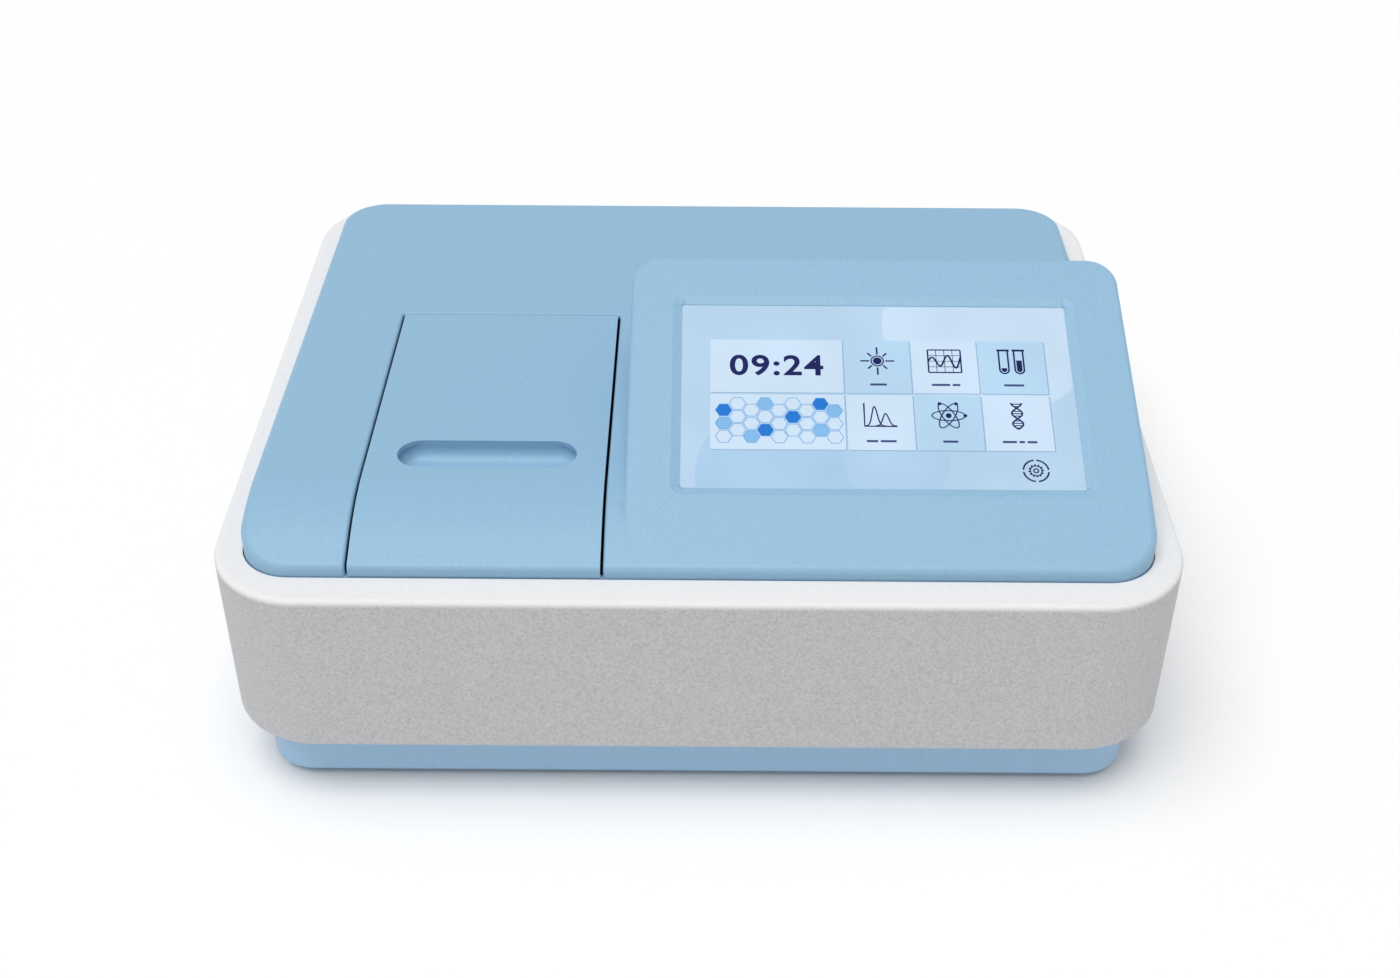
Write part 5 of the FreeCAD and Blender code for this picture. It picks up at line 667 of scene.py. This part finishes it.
wedge_lean, lean_start, deck_level = math.tan(math.radians(2)), 0.15925, 0.1652
wedge_side, wedge_back, wedge_round = 0.2482, -0.0005, 0.017
round_x = wedge_side - wedge_round + (lean_start - slope_foot_z) * wedge_lean
back_outline = []
for degrees in range(0, 91, 5):
    out_x, out_y = math.cos(math.radians(degrees)), math.sin(math.radians(degrees))
    back_outline.append((round_x + wedge_round * out_x, wedge_back - wedge_round + wedge_round * out_y,
                         out_x, out_y, crisp_edge))
trim_cover("back_corner_trim", back_outline, deck_level, wedge_lean)


# The touch glass: a hard clear pane, here lit from behind over its whole window, so that
# it reads as pale blue up to the edge of the frame.
slope = Matrix.Translation((0, slope_foot_y, slope_foot_z)) @ Matrix.Rotation(slope_tilt, 4, "X")
window_left, window_low, glass_level = -0.0105, 0.05265, -0.0022
window_width, window_height = 0.2233, 0.1272


def backlight(name, colour, spread=0.04):
    """A lit colour of the display, given as seen, and a little uneven as a backlight is."""
    def seen(value):
        value = value / 255
        return value / 12.92 if value <= 0.04045 else ((value + 0.055) / 1.055) ** 2.4

    bright = tuple(seen(channel) for channel in colour)
    material, shader = finish(name, (0.01, 0.01, 0.012), 0.22)
    shade(material, shader, noise(material, 0.05, 1.0),
          [(0.3, tinted(bright, 1 - spread)), (0.7, tinted(bright, 1 + spread))], "Emission Color")
    shader.inputs["Emission Strength"].default_value = 1.0
    shader.inputs["Specular IOR Level"].default_value = 0.06
    return material


dress(backlight("lit_glass", (184, 213, 238)), "screen_glass", "touch_glass")


def on_glass(u, v, lift):
    """A point u, v millimetres from the window's lower left corner, lifted off the glass."""
    return slope @ Vector((window_left + u / 1000, window_low + v / 1000, glass_level + lift / 1000))


def screen_piece(name, shapes, lift, material):
    """Flat shapes, lifted by so many millimetres: loops of points, or pairs of loops for bands."""
    made = bmesh.new()
    for shape in shapes:
        if isinstance(shape[0][0], (int, float)):
            made.faces.new([made.verts.new(on_glass(u, v, lift)) for u, v in shape])
            continue
        inner, outer = [[made.verts.new(on_glass(u, v, lift)) for u, v in loop] for loop in shape]
        for i in range(len(inner) - 1):
            made.faces.new((inner[i], inner[i + 1], outer[i + 1], outer[i]))
    bmesh.ops.recalc_face_normals(made, faces=made.faces)
    for face in made.faces:
        if face.normal.z < 0:
            face.normal_flip()
    mesh = bpy.data.meshes.new(name)
    made.to_mesh(mesh)
    made.free()
    return piece(name, mesh, material, "casing")


def arc(u, v, radius, start=0.0, end=360.0, steps=48, squash=1.0, tilt=0.0):
    """Points along an arc or an ellipse, in degrees from the right."""
    points = []
    for i in range(steps + 1):
        a = math.radians(start + (end - start) * i / steps)
        x, y = radius * math.cos(a), radius * squash * math.sin(a)
        c, s = math.cos(math.radians(tilt)), math.sin(math.radians(tilt))
        points.append((u + x * c - y * s, v + x * s + y * c))
    return points


def disc(u, v, radius):
    """A filled round."""
    return arc(u, v, radius)[:-1]


def band(u, v, inner, outer, start=0.0, end=360.0):
    """A ring, or a part of one, between two radii."""
    return arc(u, v, inner, start, end), arc(u, v, outer, start, end)


def stroke(points, width):
    """A line of that width along the points, as two loops beside it."""
    left, right = [], []
    for i, (u, v) in enumerate(points):
        before, after = points[max(i - 1, 0)], points[min(i + 1, len(points) - 1)]
        du, dv = after[0] - before[0], after[1] - before[1]
        size = math.hypot(du, dv) or 1.0
        du, dv = du / size * width / 2, dv / size * width / 2
        left.append((u - dv, v + du))
        right.append((u + dv, v - du))
    return left, right


def box_loop(u0, u1, v0, v1, corner):
    """A rectangle with rounded corners."""
    loop = []
    for u, v, start in ((u1 - corner, v1 - corner, 0), (u0 + corner, v1 - corner, 90),
                        (u0 + corner, v0 + corner, 180), (u1 - corner, v0 + corner, 270)):
        loop += arc(u, v, corner, start, start + 90, 6)
    return loop


# What the screen shows, all generic: a pale ground with broad overlapping rounds, a clock,
# a panel of honeycomb, six tiles with common pictograms over plain bars, and a gear.
ground_width, ground_height, margin = window_width * 1000, window_height * 1000, 0.6


def clipped_round(u, v, radius):
    """A round cut off at the edges of the window."""
    return [(min(max(x, margin), ground_width - margin), min(max(y, margin), ground_height - margin))
            for x, y in arc(u, v, radius, steps=96)[:-1]]


screen_piece("screen_round_low", [clipped_round(62, 8, 54)], 0.02,
             backlight("pale_round", (172, 206, 234)))
screen_piece("screen_round_high", [clipped_round(178, 112, 62)], 0.03,
             backlight("paler_round", (200, 223, 244)))
screen_piece("screen_round_small", [clipped_round(120, 20, 30)], 0.04,
             backlight("small_round", (177, 209, 236)))

wide_column, tile_corner = (16.4, 92.3), 0.6
tile_columns = ((93.4, 131.0), (131.9, 169.5), (170.4, 208.4))
tile_rows = upper_row, lower_row = ((64.9, 102.2), (26.0, 63.4))
shadow_near, shadow_far = 0.5, 0.7
tile_white = backlight("tile_white", (206, 227, 247))
tile_blue = backlight("tile_blue", (183, 216, 241))
white_tiles, blue_tiles = [box_loop(*wide_column, *upper_row, tile_corner)], []
for row, levels in enumerate(tile_rows):
    for column, sides in enumerate(tile_columns):
        chosen = blue_tiles if (row + column) % 2 == 0 else white_tiles
        chosen.append(box_loop(*sides, *levels, tile_corner))
screen_piece("screen_tile_shadows",
             [box_loop(left + shadow_near, right + shadow_far, low - shadow_far, high - shadow_near,
                       tile_corner) for left, right in (wide_column, *tile_columns)
              for low, high in tile_rows], 0.05, backlight("tile_shadow", (150, 184, 216)))
screen_piece("screen_tiles_white", white_tiles, 0.07, tile_white)
screen_piece("screen_tiles_blue", blue_tiles, 0.07, tile_blue)


# The panel under the clock: a honeycomb of outlined cells in blues on white, a few of them
# filled, every fifth in a soft blue and every seventh in a deep one.
screen_piece("screen_panel", [box_loop(*wide_column, *lower_row, tile_corner)], 0.07,
             backlight("panel_ground", (207, 228, 247)))
cell_radius, first_cell_u, first_cell_v, highest_cell = 5.2, 24, 34.5, 58
cells = [(first_cell_u + i * cell_radius * 1.5,
          first_cell_v + (j + (i % 2) / 2) * cell_radius * math.sqrt(3))
         for i in range(9) for j in range(3)]
cells = [(u, v) for u, v in cells if v < highest_cell]


def hexagon(u, v, share=0.86):
    """A closed loop round a cell, a little inside it."""
    return arc(u, v, cell_radius * share, steps=6)


filled_deep = [hexagon(u, v)[:-1] for k, (u, v) in enumerate(cells) if k % 7 == 2]
filled_soft = [hexagon(u, v)[:-1] for k, (u, v) in enumerate(cells) if k % 5 == 1]
outlined = [(hexagon(u, v), hexagon(u, v, 0.95)) for u, v in cells]
screen_piece("screen_cells_soft", filled_soft, 0.08, backlight("cell_soft", (132, 188, 236)))
screen_piece("screen_cells_deep", filled_deep, 0.09, backlight("cell_deep", (28, 120, 214)))
screen_piece("screen_cell_lines", outlined, 0.1, backlight("cell_line", (92, 158, 222)))


# The clock: bold figures in navy, their strokes thickened a little past the plain face, in
# the middle of the wide tile.
navy = backlight("ink_navy", (17, 24, 92), spread=0.1)
clock_u, clock_v, clock_lift, clock_stretch = 0.0543, 0.0832, 0.00011, 1.12
figures = bpy.data.curves.new("clock_figures", "FONT")
figures.body = "09:24"
figures.size = 0.0196
figures.offset = 0.00042
figures.space_character = 1.12
figures.align_x, figures.align_y = "CENTER", "CENTER"
figure_outline = bpy.data.objects.new("clock_outline", figures)
scene.collection.objects.link(figure_outline)
bpy.context.view_layer.update()
solved = figure_outline.evaluated_get(bpy.context.evaluated_depsgraph_get())
clock_mesh = bpy.data.meshes.new_from_object(solved)
clock_mesh.transform(slope @ Matrix.Translation((window_left + clock_u, window_low + clock_v,
                                                 glass_level + clock_lift))
                     @ Matrix.Diagonal((clock_stretch, 1, 1, 1)))
bpy.data.objects.remove(figure_outline)
clock_mesh.materials.clear()
piece("screen_clock", clock_mesh, navy, "casing")


# The pictograms: a lamp with rays, a scan on a grid, two tubes, two peaks, orbits round a
# core, and a double helix; each in thin navy lines.
ink, line = [], 1.0


def around(u, v, radius, degrees):
    """The point at that distance and direction from u, v."""
    return u + radius * math.cos(math.radians(degrees)), v + radius * math.sin(math.radians(degrees))


# The lamp: a disc in a ring, with long and short rays by turns.
lamp, lamp_disc, lamp_ring, rays = (112.2, 87.5), 2.5, (3.1, 3.9), 8
ray_foot, long_ray, short_ray = 4.6, 9.8, 7.8
ink += [disc(*lamp, lamp_disc), band(*lamp, *lamp_ring)]
for i in range(rays):
    way, tip = 360 / rays * i, long_ray if i % 2 == 0 else short_ray
    ink.append(stroke([around(*lamp, ray_foot, way), around(*lamp, tip, way)], line))

# The scan: a wave that grows to the right, on a framed grid of four by four.
grid_left, grid_right, grid_low, grid_high, grid_parts = 141.4, 160.2, 79.6, 95.6, 4
frame_weight, mesh_weight, wave_weight = line * 0.9, line * 0.4, line * 1.1
for i in range(grid_parts + 1):
    u = grid_left + (grid_right - grid_left) * i / grid_parts
    v = grid_low + (grid_high - grid_low) * i / grid_parts
    weight = frame_weight if i in (0, grid_parts) else mesh_weight
    ink += [stroke([(u, grid_low), (u, grid_high)], weight),
            stroke([(grid_left, v), (grid_right, v)], weight)]
wave_steps, wave_level, wave_height, wave_turns = 60, 87.6, 5.2, 2.1
wave = []
for i in range(wave_steps + 1):
    share = i / wave_steps
    growth = 0.45 + 0.55 * share
    wave.append((grid_left + (grid_right - grid_left) * share,
                 wave_level + wave_height * math.sin(share * wave_turns * 2 * math.pi) * growth))
ink.append(stroke(wave, wave_weight))

# Two tubes with round bottoms and a lip, filled to different levels.
half, tube_low, tube_high, lip, lip_weight = 2.6, 79.2, 95.6, 1, line * 1.4
for tube_u, level in ((184.8, 83.0), (193.6, 88.5)):
    wall = [(tube_u - half, tube_high), (tube_u - half, tube_low + half)]
    wall += arc(tube_u, tube_low + half, half, 180, 360, 16) + [(tube_u + half, tube_high)]
    ink.append(stroke(wall, line))
    ink.append(stroke([(tube_u - half - lip, tube_high), (tube_u + half + lip, tube_high)], lip_weight))
    fill = half - line
    ink.append([(tube_u - fill, level)] + arc(tube_u, tube_low + half, fill, 180, 360, 16)
               + [(tube_u + fill, level)])

# Two peaks over a pair of axes.
axis_u, axis_right, axis_v, axis_top = 103.2, 121.6, 42.0, 57.8
peak_foot, peak_half, peak_steps, peak_weight = 42.3, 6, 60, line * 0.8
ink.append(stroke([(axis_u, axis_top), (axis_u, axis_v), (axis_right, axis_v)], line))
for centre, height, width in ((109.0, 13.2, 2.1), (115.2, 8.4, 2.3)):
    offsets = [2 * peak_half * i / peak_steps - peak_half for i in range(peak_steps + 1)]
    ink.append(stroke([(centre + offset, peak_foot + height * math.exp(-(offset / width) ** 2))
                       for offset in offsets], peak_weight))

# Three orbits round a core, each with a dot at its end.
core, core_radius, orbit_radius, dot_radius = (150.7, 49.6), 1.7, 9.4, 1.1
orbit_inner, orbit_outer, squash_inner, squash_outer = 9.0, 9.8, 0.34, 0.39
ink.append(disc(*core, core_radius))
for tilt in (0, 60, 120):
    ink.append((arc(*core, orbit_inner, squash=squash_inner, tilt=tilt),
                arc(*core, orbit_outer, squash=squash_outer, tilt=tilt)))
    ink.append(disc(*around(*core, orbit_radius, tilt), dot_radius))

# A double helix with its rungs, left out where the strands cross.
helix_u, helix_low, helix_high, helix_reach, helix_phase = 189.4, 40.6, 58.6, 3.0, 2.5 * math.pi
strand_steps, rungs, shortest_rung, rung_weight = 48, 11, 0.9, line * 0.7
for side in (1, -1):
    ink.append(stroke([(helix_u + side * helix_reach * math.sin(i / strand_steps * helix_phase),
                        helix_low + (helix_high - helix_low) * i / strand_steps)
                       for i in range(strand_steps + 1)], line))
for rung in range(rungs):
    share = (rung + 0.5) / rungs
    reach = helix_reach * abs(math.sin(share * helix_phase))
    if reach > shortest_rung:
        v = helix_low + (helix_high - helix_low) * share
        ink.append(stroke([(helix_u - reach, v), (helix_u + reach, v)], rung_weight))
screen_piece("screen_pictograms", ink, 0.12, navy)


# Plain bars stand where the names of the tiles would be, one bar to a word, centred under
# each pictogram.
bar_lengths = ((9.5,), (10.5, 4.5), (11.5,), (6.5, 9.0), (8.5,), (8.0, 3.2, 5.6))
bar_gap, bar_foot, bar_head, bar_corner = 1.3, 5.2, 6.7, 0.5
tiles = [(sides, levels) for levels in tile_rows for sides in tile_columns]
bars = []
for (sides, (low, high)), lengths in zip(tiles, bar_lengths):
    start = sum(sides) / 2 - (sum(lengths) + bar_gap * (len(lengths) - 1)) / 2
    for length in lengths:
        bars.append(box_loop(start, start + length, low + bar_foot, low + bar_head, bar_corner))
        start += length + bar_gap
screen_piece("screen_bars", bars, 0.12, backlight("ink_soft", (62, 74, 128), spread=0.1))


# The gear at the lower right: twelve teeth round an open middle with a small ring in it, all
# inside a larger ring that is parted in four.
gear_middle, gear_teeth, tooth_steps = (196.6, 12.9), 12, 4
gear_inner, gear_root, tooth_height = 2.9, 3.6, 0.75
small_ring, large_ring, ring_parts, parting = (0.9, 1.7), (6.5, 7.5), 4, 6
ring_part = 360 / ring_parts
gear = [band(*gear_middle, *large_ring, ring_part * i + parting, ring_part * (i + 1) - parting)
        for i in range(ring_parts)]
gear_steps = gear_teeth * 2 * tooth_steps
hole, rim = [], []
for i in range(gear_steps + 1):
    on_tooth = (i % gear_steps) // tooth_steps % 2 == 0
    radius = gear_root + (tooth_height if on_tooth else 0.0)
    hole.append(around(*gear_middle, gear_inner, 360 * i / gear_steps))
    rim.append(around(*gear_middle, radius, 360 * i / gear_steps))
gear += [(hole, rim), band(*gear_middle, *small_ring)]
screen_piece("screen_gear", gear, 0.12, navy)
